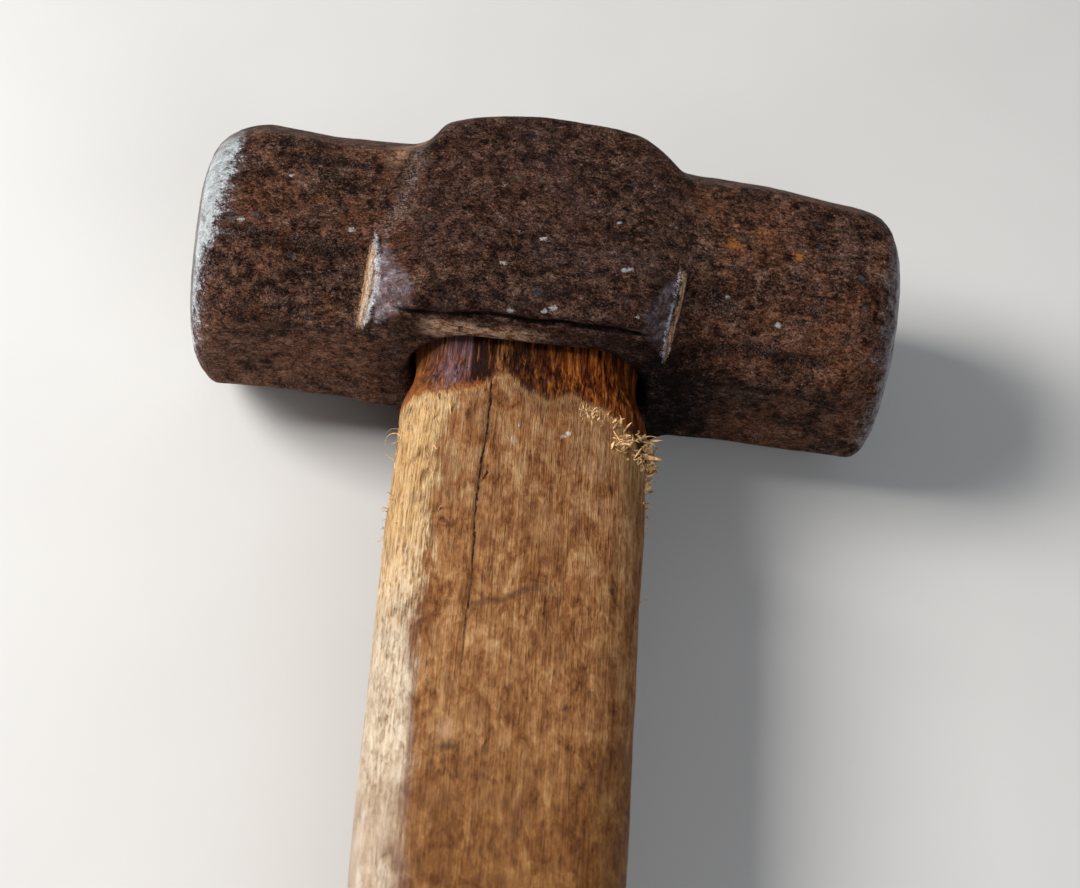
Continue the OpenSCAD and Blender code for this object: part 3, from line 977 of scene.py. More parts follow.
class Material:
    """A Principled material whose patterns are sized in millimetres on the object."""

    def __init__(self, name):
        self.data = bpy.data.materials.new(name)
        self.data.use_nodes = True
        self.tree = self.data.node_tree
        self.tree.nodes.clear()
        output = self.node("OutputMaterial")
        self.bsdf = self.node("BsdfPrincipled")
        self.tree.links.new(self.bsdf.outputs[0], output.inputs[0])
        self.position = Field(self.node("TexCoord").outputs["Object"])

    def node(self, kind):
        return self.tree.nodes.new("ShaderNode" + kind)

    def coords(self, size, seed):
        node = self.node("Mapping")
        sizes = size if isinstance(size, tuple) else (size,) * 3
        node.inputs["Scale"].default_value = [1 / (v * MM) for v in sizes]
        node.inputs["Location"].default_value = (
            seed * 7.31 + 3.7, seed * 3.17 + 1.9, seed * 5.71 + 8.3)
        feed(node.inputs["Vector"], self.position)
        return Field(node.outputs[0])

    def noise_node(self, at, scale, detail, rough):
        node = self.node("TexNoise")
        feed(node.inputs["Vector"], at)
        node.inputs["Scale"].default_value = scale
        node.inputs["Detail"].default_value = detail
        node.inputs["Roughness"].default_value = rough
        return node

    def noise(self, size, seed, detail=3.0, rough=0.6, distort=0.0):
        node = self.noise_node(self.coords(size, seed), 1.0, detail, rough)
        node.inputs["Distortion"].default_value = distort
        return Field(node.outputs["Fac"])

    def voronoi(self, size, seed, feature, warp):
        node = self.node("TexVoronoi")
        node.feature = feature
        at = self.coords(size, seed)
        if warp:
            bend = self.noise_node(at, 1.4, 3.0, 0.7)
            shift = self.node("VectorMath")
            shift.operation = "MULTIPLY_ADD"
            feed(shift.inputs[0], Field(bend.outputs["Color"]))
            shift.inputs[1].default_value = (warp,) * 3
            feed(shift.inputs[2], at)
            at = Field(shift.outputs[0])
        feed(node.inputs["Vector"], at)
        node.inputs["Scale"].default_value = 1.0
        return node

    def cell(self, size, seed, warp=0.0):
        """Distance to the nearest cell's point, and that cell's random value."""
        node = self.voronoi(size, seed, "F1", warp)
        value = self.node("SeparateColor")
        feed(value.inputs[0], Field(node.outputs["Color"]))
        return Field(node.outputs["Distance"]), Field(value.outputs[0])

    def cell_edge(self, size, seed, warp):
        node = self.voronoi(size, seed, "DISTANCE_TO_EDGE", warp)
        return Field(node.outputs["Distance"])

    def threads(self, size, thin, seed, distort=0.0):
        """Thin winding threads: the places where a noise crosses its middle."""
        winding = self.noise(size, seed, detail=2, rough=0.55, distort=distort)
        return abs(winding - 0.5).mask(thin, 0.0)

    def attr(self, name):
        node = self.node("Attribute")
        node.attribute_name = name
        return Field(node.outputs["Fac"])

    def axis(self, index):
        """Object coordinate in mm."""
        node = self.node("SeparateXYZ")
        feed(node.inputs[0], self.position)
        return Field(node.outputs[index]) / MM

    def line(self, name, wobble, soft):
        """Crisp band about the stored distance name_d, of the stored half width name_w."""
        distance = abs(self.attr(name + "_d") + wobble)
        return (distance / most(self.attr(name + "_w"), 0.002)).mask(1.0, soft)

    def stamp(self, name, ragged, off, on):
        """A stored mark with its edge made ragged; nothing where the mark is absent."""
        stored = self.attr(name)
        return (stored + ragged).mask(off, on) * stored.mask(0.03, 0.25)

    def finish(self, colour, height=None, depth=0.0, strength=1.0, *, rough, metal=0.0, spec):
        """Connects the shader; depth is the relief in mm of one unit of height."""
        if height is not None:
            node = self.node("Bump")
            node.inputs["Strength"].default_value = strength
            node.inputs["Distance"].default_value = depth * MM
            feed(node.inputs["Height"], height)
            feed(self.bsdf.inputs["Normal"], Field(node.outputs[0]))
        for name, value in (("Base Color", colour), ("Roughness", rough),
                            ("Metallic", metal), ("Specular IOR Level", spec)):
            feed(self.bsdf.inputs[name], value)
        return self.data


# ---------------------------------------------------------------- steel of the head


def steel_scale(mat, noises):
    """Scale in small warped flakes, each of its own tone, with dark seams and pits between."""
    patch, grit, curl, fine = noises
    _, tone_large = mat.cell((1.5, 0.95, 0.95), seed=91, warp=1.5)
    gap = mat.cell_edge((1.5, 0.95, 0.95), seed=91, warp=1.5)
    _, tone_small = mat.cell((0.62, 0.46, 0.46), seed=92, warp=1.3)
    mottle = blend((0.32, patch), (0.28, grit), (0.56, curl), (0.64, fine))
    mottle = mottle * 0.74 + tone_large * 0.15 + tone_small * 0.15 + -0.03
    seams = gap.mask(0.075, 0.0) * grit.mask(0.36, 0.56)
    tan = mat.threads((0.95, 0.62, 0.62), thin=0.030, seed=81, distort=0.9)
    ink = mat.threads((1.3, 0.8, 0.8), thin=0.026, seed=82, distort=0.8)
    pits = mat.noise((1.25, 0.85, 0.85), seed=93, rough=0.72, distort=1.0).mask(0.560, 0.605)
    colour = mottle.ramp(
        (0.12, (0.0026, 0.0011, 0.0009)), (0.31, (0.0105, 0.0039, 0.0028)),
        (0.475, (0.038, 0.0160, 0.0106)), (0.62, (0.112, 0.053, 0.036)),
        (0.755, (0.245, 0.140, 0.100)), (0.89, (0.43, 0.295, 0.240)))
    colour = colour.coats(
        ((0.006, 0.0026, 0.002), seams * 0.62),
        ((0.330, 0.185, 0.125), tan * grit.mask(0.42, 0.60) * 0.62),
        ((0.003, 0.0016, 0.0016), ink * 0.60),
        ((0.0030, 0.0016, 0.0015), pits * 0.84))
    return colour, mottle, (tone_small, tone_large, pits, seams)


def steel_stains(mat, colour, noises, streak, mottle, tone, pits):
    patch, grit, curl, fine = noises
    neck = mat.attr("block").inverse()
    # rusty warmth on the necks; over the block, burnished brown under a painted purple-grey sheen
    broad = mat.noise(13, seed=1, rough=0.5)
    ruddy = neck * 0.62 + mat.axis(0).mask(24, 30) * 0.30 + 0.28
    warm = blend((0.7, broad), (0.5, grit)).mask(0.32, 0.66) * ruddy
    rust = (blend((0.5, curl), (0.5, fine)) * 0.65 + tone * 0.35).ramp(
        (0.16, (0.012, 0.0033, 0.0016)), (0.48, (0.128, 0.044, 0.021)),
        (0.82, (0.38, 0.165, 0.090)))
    block_sheen = blend((0.7, mat.noise(8, seed=8, rough=0.55)), (0.6, fine)).mask(0.40, 0.80)
    olive = mat.noise(4.2, seed=9).spread().mask(0.66, 0.90)
    # small bluish spots, painted glints
    blue, blue_value = mat.cell(3.4, seed=11)
    blue = blue.mask(0.32, 0.10) * blue_value.mask(0.80, 0.86) * curl.mask(0.44, 0.58)
    # dark long streaks left by the forge on the necks, and darker blots of scale
    lines = (neck * 0.8 + 0.12) * streak.spread().mask(0.58, 0.86)
    blot = blend((0.8, mat.noise((5.5, 3.0, 3.0), seed=12)), (0.45, curl)).mask(0.60, 0.86)
    dark = mat.stamp("dark", curl.sway(3.2) + grit.sway(3.0), off=0.12, on=0.72)
    # painted light: flakes lightened below the left neck, where little light falls, and flakes
    # elsewhere painted as catching the light
    below = mat.attr("under") * (mottle * 0.75 + curl * 0.30).mask(0.30, 0.92)
    flake = mat.threads((0.80, 0.52, 0.52), thin=0.050, seed=96, distort=1.8)
    flake = flake * blend((0.7, grit), (0.5, fine)).mask(0.30, 0.66) * (neck * 0.5 + 0.5)
    flake_tint = patch.mask(0.44, 0.64).mix((0.36, 0.180, 0.110), (0.47, 0.310, 0.240))
    # pale points: bare steel and mortar dust in the pits
    large, large_value = mat.cell(0.95, seed=13)
    large = (large.mask(0.26, 0.12) * large_value.mask(0.86, 0.90)
             * blend((0.7, patch), (0.6, fine)).mask(0.56, 0.82))
    small, small_value = mat.cell(0.42, seed=15)
    small = (small.mask(0.34, 0.14) * small_value.mask(0.88, 0.92)
             * mat.noise(3.4, seed=16, detail=2, rough=0.5).spread().mask(0.55, 0.85))
    dot = mat.stamp("speck", fine.sway(1.2) + curl.sway(0.8), off=0.34, on=0.72)
    return colour.coats(
        (rust, warm * (pits * 0.8).inverse() * 0.66),
        ((0.066, 0.044, 0.052), mat.attr("block") * block_sheen * 0.26),
        ((0.050, 0.044, 0.028), olive * 0.45),
        ((0.040, 0.080, 0.125), blue * 0.62),
        ((0.005, 0.003, 0.003), lines * 0.72),
        ((0.0065, 0.004, 0.0045), blot * 0.80),
        ((0.0045, 0.0025, 0.003), dark * 0.86),
        ((0.46, 0.220, 0.135), below * 0.58),
        (flake_tint, flake * 0.50),
        ((0.42, 0.385, 0.37), most(large * 0.75, small * 0.50) * 0.62),
        # painted shade below the right of the block, beside the handle
        ((0.004, 0.0025, 0.002), mat.attr("soot") * mottle.mask(1.10, 0.45) * 0.94),
        ((0.62, 0.60, 0.59), dot * (0.50 + fine * 0.6) * 0.90))


def steel_marks(mat, colour, noises, streak):
    """Marks round the eye and shoulders, and the ridges where the necks meet the block, several with
    painted light and shade.
    """
    _, grit, curl, fine = noises
    orange = mat.stamp("orange", curl.sway(2.8), off=0.38, on=1.0)
    # painted shade darkens the crease below the block's ridge
    crease = mat.stamp("crease", streak.sway(1.4), off=0.22, on=0.62)
    # worn tan lip round the eye's mouth, painted lighter still as painted light, since it faces away
    # from the lamps
    lip = blend((0.8, mat.noise((3.2, 0.8, 0.8), seed=17)), (0.5, curl)).mask(0.16, 0.62)
    lip_tint = blend((0.5, curl), (0.6, grit)).mask(0.30, 0.66).mix(
        (0.38, 0.140, 0.060), (0.98, 0.66, 0.44))
    pale = mat.attr("shoulder") * blend((0.6, curl), (0.7, fine)).mask(0.34, 0.80)
    # painted highlight: copper light on the fillet left of the block, which faces the key light
    copper = mat.attr("copper") * blend((0.6, curl), (0.6, grit)).mask(0.12, 0.62)
    # flats with a painted lavender sheen, varied by noise
    sheen_noise = mat.noise((2.6, 1.2, 1.2), seed=18, rough=0.55, distort=0.4)
    sheen_noise = blend((0.8, sheen_noise), (0.35, curl), (0.22, fine))
    wisp = mat.noise((2.8, 0.55, 0.55), seed=95, distort=0.5)
    wisp = (wisp - 0.5) * mat.attr("facet").mask(0.0, 0.2) * 1.1
    facet = (mat.attr("facet") + wisp).mask(0.05, 1.05) * (0.60 + sheen_noise.mask(0.10, 0.90) * 0.40)
    facet_sheen_tint = sheen_noise.mask(0.25, 0.95).mix((0.170, 0.112, 0.122), (0.60, 0.52, 0.60))
    # strip between the ridge and its burr
    between = (mat.attr("crest_d").mask(-0.1, 0.3) * mat.attr("white_d").mask(0.1, -0.3)
               * mat.attr("crest_w").mask(0.10, 0.30))
    between_tint = blend((0.7, mat.noise((0.30, 2.2, 2.2), seed=97)), (0.5, curl))
    between_tint = between_tint.mask(0.30, 0.66).mix((0.17, 0.075, 0.040), (0.62, 0.38, 0.24))
    # bare burred steel on each ridge, painted lit: copper and peach where it faces the key light,
    # white along the burr
    nudge = curl.sway(1.9) + fine.sway(1.3)
    crest = mat.line("crest", nudge, soft=0.30) * blend((0.6, grit), (0.6, curl)).mask(0.05, 0.35)
    along = mat.noise((0.30, 2.6, 2.6), seed=19, distort=0.2)
    across = mat.attr("crest_d") + along.sway(1.5) + grit.sway(0.8)
    crest_light_tint = calc("MULTIPLY_ADD", across, 0.5, 0.5).ramp(
        (0.10, (0.36, 0.13, 0.04)), (0.24, (0.97, 0.66, 0.42)), (0.36, (0.78, 0.42, 0.21)),
        (0.45, (0.32, 0.14, 0.07)), (0.55, (0.82, 0.52, 0.33)), (0.70, (0.99, 0.86, 0.70)),
        (0.86, (0.66, 0.50, 0.40))).coats(((0.16, 0.065, 0.030), along.mask(0.58, 0.68) * 0.7))
    white = (mat.line("white", nudge * 0.8, soft=0.15)
             * blend((0.6, fine), (0.5, grit)).mask(0.15, 0.60))
    burr_light_tint = along.mask(0.36, 0.54).mix((0.62, 0.60, 0.70), (0.94, 0.95, 1.0))
    colour = colour.coats(
        ((0.46, 0.165, 0.032), orange * 0.70),
        ((0.0035, 0.0025, 0.0025), crease * 0.94),
        (lip_tint, mat.attr("lip") * lip * 0.86),
        ((0.33, 0.245, 0.21), pale * 0.75),
        ((0.54, 0.31, 0.19), copper * 0.78),
        (facet_sheen_tint, facet * 0.76),
        # painted shade in the groove beside each ridge
        ((0.014, 0.006, 0.004), mat.attr("groove") * curl.mask(0.36, 0.50) * 0.30),
        (between_tint, between * 0.85),
        (crest_light_tint, crest * 0.95),
        (burr_light_tint, white * 0.94))
    return colour, crest, along, facet, white


def steel_rims(mat, colour, noises):
    """Worn bright rims and faces, a painted glint on the right rim, and painted shade in the eye."""
    patch, grit, curl, fine = noises
    edge = grit.sway(5.5) + curl.sway(6.0) + fine.sway(4.5)
    rim = mat.attr("bevel_d")
    halo = (rim + edge).mask(-1.5, 1.2)
    bevel = (rim + edge * 0.85).mask(-0.1, 1.9)
    frost = blend((0.7, grit), (0.5, curl), (0.5, fine))
    bright = frost.ramp((0.04, (0.060, 0.048, 0.056)), (0.26, (0.31, 0.305, 0.33)),
                        (0.50, (0.62, 0.665, 0.69)), (0.84, (0.90, 0.98, 0.99)))
    dull = frost.ramp((0.10, (0.050, 0.032, 0.028)), (0.50, (0.145, 0.108, 0.104)),
                      (0.92, (0.40, 0.36, 0.36)))
    bevel_r = (mat.attr("bevel_right_d") + edge * 0.9).mask(-1.2, 2.2) * 0.80
    right = frost.ramp((0.08, (0.034, 0.026, 0.028)), (0.46, (0.175, 0.150, 0.160)),
                       (0.74, (0.38, 0.36, 0.39)), (0.95, (0.60, 0.61, 0.64)))
    # painted glint: a thin light line along the right face's rim
    glint = (mat.line("rim", edge * 0.35, soft=0.2) * frost.mask(0.25, 0.60)
             * mat.axis(0).mask(30, 40))
    worn = mat.stamp("face", edge * 0.11, off=0.38, on=0.62)
    face = blend((0.6, patch), (0.5, curl), (0.4, fine)).ramp(
        (0.10, (0.050, 0.030, 0.022)), (0.42, (0.16, 0.130, 0.118)), (0.80, (0.40, 0.38, 0.38)))
    colour = colour.coats(
        ((0.135, 0.110, 0.125), halo * 0.62),
        (mat.attr("bevel_dim").mix(bright, dull), bevel * 0.96),
        (right, bevel_r),
        ((0.62, 0.62, 0.66), glint * 0.66),
        (face, worn * 0.85),
        # painted shade inside the eye's mouth
        ((0.006, 0.004, 0.004), mat.attr("eye") * 0.9))
    return colour, bevel, bevel_r, worn


def forged_steel():
    mat = Material("forged_steel")
    patch = mat.noise(4.6, seed=2, detail=4)
    grit = mat.noise(1.9, seed=3)
    curl = mat.noise((0.85, 0.5, 0.5), seed=4, rough=0.7, distort=1.4)
    fine = mat.noise((0.36, 0.28, 0.28), seed=5, detail=2, rough=0.65, distort=0.8)
    streak = mat.noise((7.0, 0.55, 0.55), seed=6, distort=0.3)
    noises = patch, grit, curl, fine
    colour, mottle, (tone_small, tone_large, pits, seams) = steel_scale(mat, noises)
    colour = steel_stains(mat, colour, noises, streak, mottle, tone_small, pits)
    colour, crest, along, facet, white = steel_marks(mat, colour, noises, streak)
    colour, bevel, bevel_r, worn = steel_rims(mat, colour, noises)
    shine = most(bevel, bevel_r * 0.8, crest * 0.6, facet * 0.45, worn * 0.9, white * 0.6)
    height = grit * 0.9 + curl * 0.9 + fine * 0.5 + tone_small * 0.10 + tone_large * 0.10
    height = height + pits * -0.30 + seams * -0.14 + crest * along * 0.8
    rough = 0.58 + curl.sway(0.9) + patch.sway(0.5)
    return mat.finish(
        colour, height, depth=0.72, strength=1.0,
        rough=calc("SUBTRACT", rough, shine * 0.12, clamp=True),
        metal=calc("MULTIPLY_ADD", shine, 0.45, mottle.mask(0.80, 1.0) * 0.25),
        spec=0.04 + mottle.mask(0.45, 0.95) * 0.24 + shine * 0.25)


# ---------------------------------------------------------------- wood of the handle


def bare_wood(mat, tone, noises, y, low):
    """Brown wood, amber low on the grip, with clouds, flecks and fine dark pores."""
    _, _, blot, tick = noises
    grey = y.mask(-62, -38) * blot.spread().mask(0.30, 0.75)
    seam = mat.threads((1.6, 34.0, 1.6), thin=0.011, seed=83)
    seam = seam * mat.noise((3, 14, 3), seed=84, detail=2, rough=0.5).mask(0.46, 0.60)
    amber = tone.ramp(
        (0.06, (0.042, 0.011, 0.002)), (0.30, (0.112, 0.036, 0.006)),
        (0.55, (0.192, 0.074, 0.016)), (0.78, (0.275, 0.125, 0.036)), (1.0, (0.40, 0.22, 0.09)))
    stain = blend((0.8, mat.noise((4.4, 8.0, 4.4), seed=27)), (0.5, tick)).mask(0.56, 0.88)
    fleck, value = mat.cell((1.25, 3.4, 1.25), seed=26)
    flecks = fleck.mask(0.36, 0.12) * value.mask(0.70, 0.78) * tick.mask(0.40, 0.56)
    pore, value = mat.cell((0.34, 2.6, 0.34), seed=28)
    pores = pore.mask(0.34, 0.12) * value.mask(0.62, 0.72)
    colour = tone.ramp(
        (0.04, (0.046, 0.014, 0.005)), (0.22, (0.122, 0.042, 0.013)),
        (0.44, (0.232, 0.096, 0.033)), (0.64, (0.350, 0.172, 0.068)),
        (0.84, (0.490, 0.290, 0.138)), (1.0, (0.60, 0.42, 0.25)))
    colour = colour.coats(
        ((0.235, 0.155, 0.098), grey * 0.34),
        ((0.060, 0.024, 0.010), seam * 0.62),
        (amber, low * 0.90),
        ((0.125, 0.047, 0.020), stain * 0.62),
        ((0.050, 0.022, 0.012), flecks * 0.70),
        ((0.050, 0.020, 0.009), pores * 0.55))
    return colour, seam, pores


def raw_wood(mat, noises, y, pores):
    """Straw coloured fibres where the left side is worn raw."""
    fine, grain, blot, tick = noises
    split = mat.threads((1.0, 13.0, 1.0), thin=0.020, seed=85, distort=0.35)
    split = split * mat.noise((2.0, 6.0, 2.0), seed=86, detail=2, rough=0.5).mask(0.44, 0.58)
    nick, value = mat.cell((1.1, 3.6, 1.1), seed=94, warp=0.7)
    nicks = nick.mask(0.40, 0.18) * value.mask(0.66, 0.72) * y.mask(-92, -66)
    lit = mat.threads((0.9, 10.0, 0.9), thin=0.022, seed=87, distort=0.35)
    straw = blend((0.6, fine), (0.45, grain), (0.35, tick), (0.2, blot)).ramp(
        (0.03, (0.075, 0.030, 0.009)), (0.20, (0.235, 0.115, 0.038)),
        (0.40, (0.43, 0.255, 0.105)), (0.62, (0.56, 0.375, 0.190)), (0.86, (0.68, 0.52, 0.335)))
    straw = straw.coats(
        ((0.050, 0.020, 0.009), pores * 0.45),
        ((0.085, 0.034, 0.010), split * 0.80),
        ((0.050, 0.019, 0.007), nicks * 0.86),
        ((0.86, 0.68, 0.44), lit * y.mask(-85, -60) * 0.50))
    edge = mat.attr("pale") + fine.sway(1.4) + blot.sway(1.8)
    raw = edge.mask(0.15, 0.95) * mat.attr("pale").mask(0.02, 0.25)
    return straw, raw, split, nicks, lit


def wood_marks(mat, colour, tone, noises):
    """Rubbed band with a painted whitish sheen, a darker purple brown band beside it, frayed fibres
    and small marks.
    """
    fine, _, blot, tick = noises
    # the rubbed band low on the left side: worn wood under a painted whitish sheen
    rubbed_sheen = tone.ramp((0.05, (0.17, 0.095, 0.055)), (0.30, (0.30, 0.205, 0.135)),
                      (0.60, (0.41, 0.315, 0.235)), (0.90, (0.54, 0.465, 0.39)))
    # a darker purple brown band along the soft edge of the rubbed band
    purple_edge = (abs(mat.attr("pale_low") * 2.0 - 0.75).inverse()
             * mat.attr("pale_low").mask(0.06, 0.25)
             * mat.attr("pale_low").mask(0.6, 0.9).inverse())
    fray = mat.attr("fray") * fine.spread().mask(0.30, 0.72)
    return colour.coats(
        (rubbed_sheen, mat.stamp("pale_low", blot.sway(0.8), off=0.05, on=1.0) * 0.82),
        ((0.135, 0.066, 0.052), purple_edge * tick.mask(0.34, 0.62) * 0.60),
        ((0.56, 0.33, 0.135), fray * 0.66),
        ((0.085, 0.020, 0.014), mat.attr("red") * tick.mask(0.36, 0.56) * 0.85),
        ((0.060, 0.030, 0.020), mat.stamp("smudge", blot.sway(1.4), off=0.20, on=0.9) * 0.60),
        ((0.50, 0.30, 0.165), mat.attr("chip") * 0.75),
        ((0.055, 0.026, 0.017), mat.attr("chip_dark") * 0.75),
        ((0.030, 0.013, 0.009), mat.stamp("mark", tick.sway(1.8), off=0.35, on=0.80) * 0.80),
        ((0.56, 0.54, 0.54), mat.stamp("white", tick.sway(2.2), off=0.36, on=0.85) * 0.75))


def old_varnish(mat, noises, x):
    """Purple brown at the left, nearly black in the middle, orange brown at the right."""
    _, grain, _, tick = noises
    tone = blend((0.60, mat.noise((0.30, 20.0, 0.30), seed=34, distort=0.1)),
                 (0.45, mat.noise((0.8, 26.0, 0.8), seed=35, detail=2)), (0.16, tick))
    film = mat.noise((2.4, 4.5, 2.4), seed=36, detail=2, rough=0.5)
    film = ((mat.axis(0) + tick.sway(5.0)).mask(-16.0, -13.2)
            * blend((0.8, film), (0.4, tick)).mask(0.26, 0.60))
    film_tint = tone.ramp((0.10, (0.028, 0.012, 0.014)), (0.50, (0.094, 0.047, 0.052)),
                          (0.90, (0.190, 0.125, 0.150)))
    left = tone.ramp(
        (0.04, (0.008, 0.002, 0.001)), (0.24, (0.040, 0.010, 0.004)),
        (0.50, (0.110, 0.034, 0.015)), (0.74, (0.230, 0.085, 0.038)),
        (0.95, (0.42, 0.200, 0.100))).coats((film_tint, film * 0.84))
    middle = tone.ramp(
        (0.12, (0.0025, 0.0006, 0.0003)), (0.40, (0.011, 0.0026, 0.0006)),
        (0.62, (0.046, 0.0105, 0.0019)), (0.86, (0.17, 0.056, 0.010)), (1.0, (0.36, 0.16, 0.05)))
    right = tone.ramp(
        (0.10, (0.003, 0.0005, 0.0002)), (0.34, (0.030, 0.0052, 0.0008)),
        (0.54, (0.135, 0.029, 0.0035)), (0.76, (0.30, 0.098, 0.015)), (1.0, (0.50, 0.25, 0.075)))
    wobble = grain.sway(9.0)
    pitch = x.mask(-9.5, -9.1) * (x + wobble * 0.1).mask(-6.3, -7.2)
    strip = (x + wobble * 0.10).mask(-6.2, -5.2) * (x + wobble * 0.10).mask(-2.8, -4.2)
    strip_tint = tone.ramp((0.15, (0.030, 0.009, 0.002)), (0.50, (0.150, 0.055, 0.016)),
                           (0.85, (0.36, 0.175, 0.070)))
    rift = (mat.threads((1.5, 120.0, 1.5), thin=0.012, seed=90)
            * mat.noise((2.0, 7.0, 2.0), seed=98, detail=2, rough=0.5).mask(0.40, 0.54)
            * x.mask(-8.0, -10.0))
    rim_tint = tone.ramp((0.2, (0.10, 0.026, 0.005)), (0.8, (0.30, 0.105, 0.024)))
    hair = mat.threads((1.1, 26.0, 1.1), thin=0.022, seed=88, distort=0.2)
    hair = hair * mat.noise((2.0, 9.0, 2.0), seed=89, detail=2, rough=0.5).mask(0.42, 0.56)
    colour = left.coats(
        (middle, (x + wobble * 0.15).mask(-9.4, -8.8)),
        (right, (x + wobble).mask(-3.0, 9.0)),
        ((0.012, 0.0035, 0.003), pitch * tone.mask(0.95, 0.55) * 0.92),
        (strip_tint, strip * tone.mask(0.1, 0.8) * 0.80),
        ((0.004, 0.0012, 0.0008), rift * 0.92),
        (rim_tint, (x + wobble * 0.5).mask(-15.2, -17.0) * 0.85),
        ((0.14, 0.080, 0.050), mat.attr("scuff") * tick.mask(0.45, 0.6) * 0.6),
        ((0.006, 0.002, 0.001), hair * 0.85))
    return colour, rift


def varnish_edge(mat, colour, varnish, noises, x):
    """Lays the varnish over the wood, soft in the middle, with a pale and a burnt edge."""
    fine, _, _, tick = noises
    inward = mat.attr("varnish_d") + fine.sway(4.0) + tick.sway(2.0)
    soft = x.mask(-4.5, -1.5) * x.mask(9.0, 5.5) * 0.8
    cover = soft.mix(inward.mask(-0.22, 0.20),
                     inward.mask(-2.2, 0.9) * fine.spread().mask(0.0, 0.4))
    fade = (x.mask(-5.5, -2.0) * x.mask(11.0, 6.0) * mat.attr("band_soft").mask(0.0, 0.9)
            * fine.spread().mask(0.15, 0.75))
    edge = inward.mask(-1.9, -0.2) * cover.inverse() * fine.spread().mask(0.30, 0.75)
    burnt = inward.mask(-1.3, -0.1) * inward.mask(1.3, 0.2) * x.mask(-3.0, -9.0)
    colour = colour.coats(
        ((0.085, 0.036, 0.014), fade * 0.72),
        (varnish, cover),
        ((0.60, 0.38, 0.165), edge * 0.62),
        ((0.33, 0.095, 0.022), burnt * tick.mask(0.38, 0.55) * 0.75))
    return colour, cover


def sawn_grain(mat, x):
    """Growth rings round a pith outside the section."""
    across = calc("POWER", x + 9.0, 2.0) + calc("POWER", mat.axis(2) + 16.0, 2.0)
    radius = calc("SQRT", across) + mat.noise(6, seed=30, rough=0.5) * 2.2
    rings = calc("SINE", radius * 3.3)
    return (rings * 0.14 + mat.noise(0.5, seed=31) * 0.55 + 0.22).ramp(
        (0.30, (0.040, 0.018, 0.009)), (0.48, (0.125, 0.062, 0.032)),
        (0.66, (0.25, 0.145, 0.080)))


def handle_wood():
    mat = Material("handle_wood")
    x, y = mat.axis(0), mat.axis(1)
    fine = mat.noise((0.26, 6.5, 0.26), seed=21, distort=0.1)
    grain = mat.noise((0.9, 12.0, 0.9), seed=22, distort=0.4)
    wide = mat.noise((4.0, 42.0, 4.0), seed=23, rough=0.55)
    blot = mat.noise((3.0, 5.0, 3.0), seed=24, detail=4, rough=0.68, distort=0.7)
    tick = mat.noise((0.70, 1.7, 0.70), seed=25, detail=4, rough=0.68, distort=0.6)
    noises = fine, grain, blot, tick
    tone = blend((0.17, fine), (0.28, grain), (0.22, wide), (0.68, blot), (0.50, tick))
    low = mat.attr("low")
    bare, seam, pores = bare_wood(mat, tone, noises, y, low)
    straw, raw, split, nicks, lit = raw_wood(mat, noises, y, pores)
    colour = wood_marks(mat, bare.coats((straw, raw * 0.92)), tone, noises)
    varnish, rift = old_varnish(mat, noises, x)
    colour, cover = varnish_edge(mat, colour, varnish, noises, x)
    nudge = tick.sway(0.9) + fine.sway(0.5)
    crack = most(mat.line("crack", nudge, soft=0.35), mat.line("fork", nudge, soft=0.35))
    shade = abs(mat.attr("crack_d")) / most(mat.attr("crack_w") * 4.0, 0.002)
    sun = raw * y.mask(-50, -66) * y.mask(-100, -86) * tick.mask(0.36, 0.56)
    colour = colour.coats(
        ((0.085, 0.038, 0.018), shade.mask(1.0, 0.2) * 0.45),
        ((0.008, 0.004, 0.002), crack * 0.95),
        ((0.045, 0.018, 0.009), mat.attr("check").mask(0.25, 0.75) * 0.75),
        (sawn_grain(mat, x), mat.attr("end_grain")),
        ((0.86, 0.72, 0.53), sun * 0.42))
    height = fine * 0.55 + grain * 0.5 + tick * 0.65 + pores * -0.08 + crack * -0.5
    height = height + split * raw * -0.45 + lit * raw * 0.12 + seam * -0.20 + raw * grain * 0.6
    height = height + nicks * raw * -0.45 + rift * cover * -0.5
    calm = calc("SUBTRACT", 1.0, cover * 0.55 + low * 0.45)
    rough = 0.72 + grain.sway(0.5) - cover * 0.27 - low * 0.20
    return mat.finish(
        colour, height * calm, depth=0.60, strength=0.9,
        rough=calc("SUBTRACT", rough, mat.attr("pale_low") * 0.16, clamp=True),
        spec=0.09 + cover * 0.11 + low * 0.07 + mat.attr("pale_low") * 0.22)


# ---------------------------------------------------------------- small parts' materials


def splinter_wood():
    mat = Material("splinter_wood")
    colour = mat.noise((0.5, 2.5, 0.5), seed=41).ramp(
        (0.35, (0.34, 0.17, 0.06)), (0.50, (0.62, 0.38, 0.17)), (0.66, (0.82, 0.60, 0.34)))
    height = mat.noise((0.12, 0.9, 0.12), seed=42, detail=2, rough=0.5)
    return mat.finish(colour, height, depth=0.05, strength=0.6, rough=0.8, spec=0.3)


def wedge_wood():
    mat = Material("wedge_wood")
    fine = mat.noise((0.45, 6.0, 0.45), seed=51, detail=4)
    pore = mat.noise(0.55, seed=52, rough=0.65)
    dirt = mat.noise(4.0, seed=53, rough=0.55).mask(0.52, 0.66, top=0.7)
    colour = (fine * 0.4 + pore * 0.6).ramp(
        (0.34, (0.030, 0.015, 0.009)), (0.48, (0.105, 0.055, 0.029)),
        (0.62, (0.235, 0.140, 0.080))).coats(((0.020, 0.012, 0.009), dirt))
    return mat.finish(colour, pore + fine, depth=0.18, strength=0.8,
                      rough=0.66 + pore * 0.25, spec=0.3)


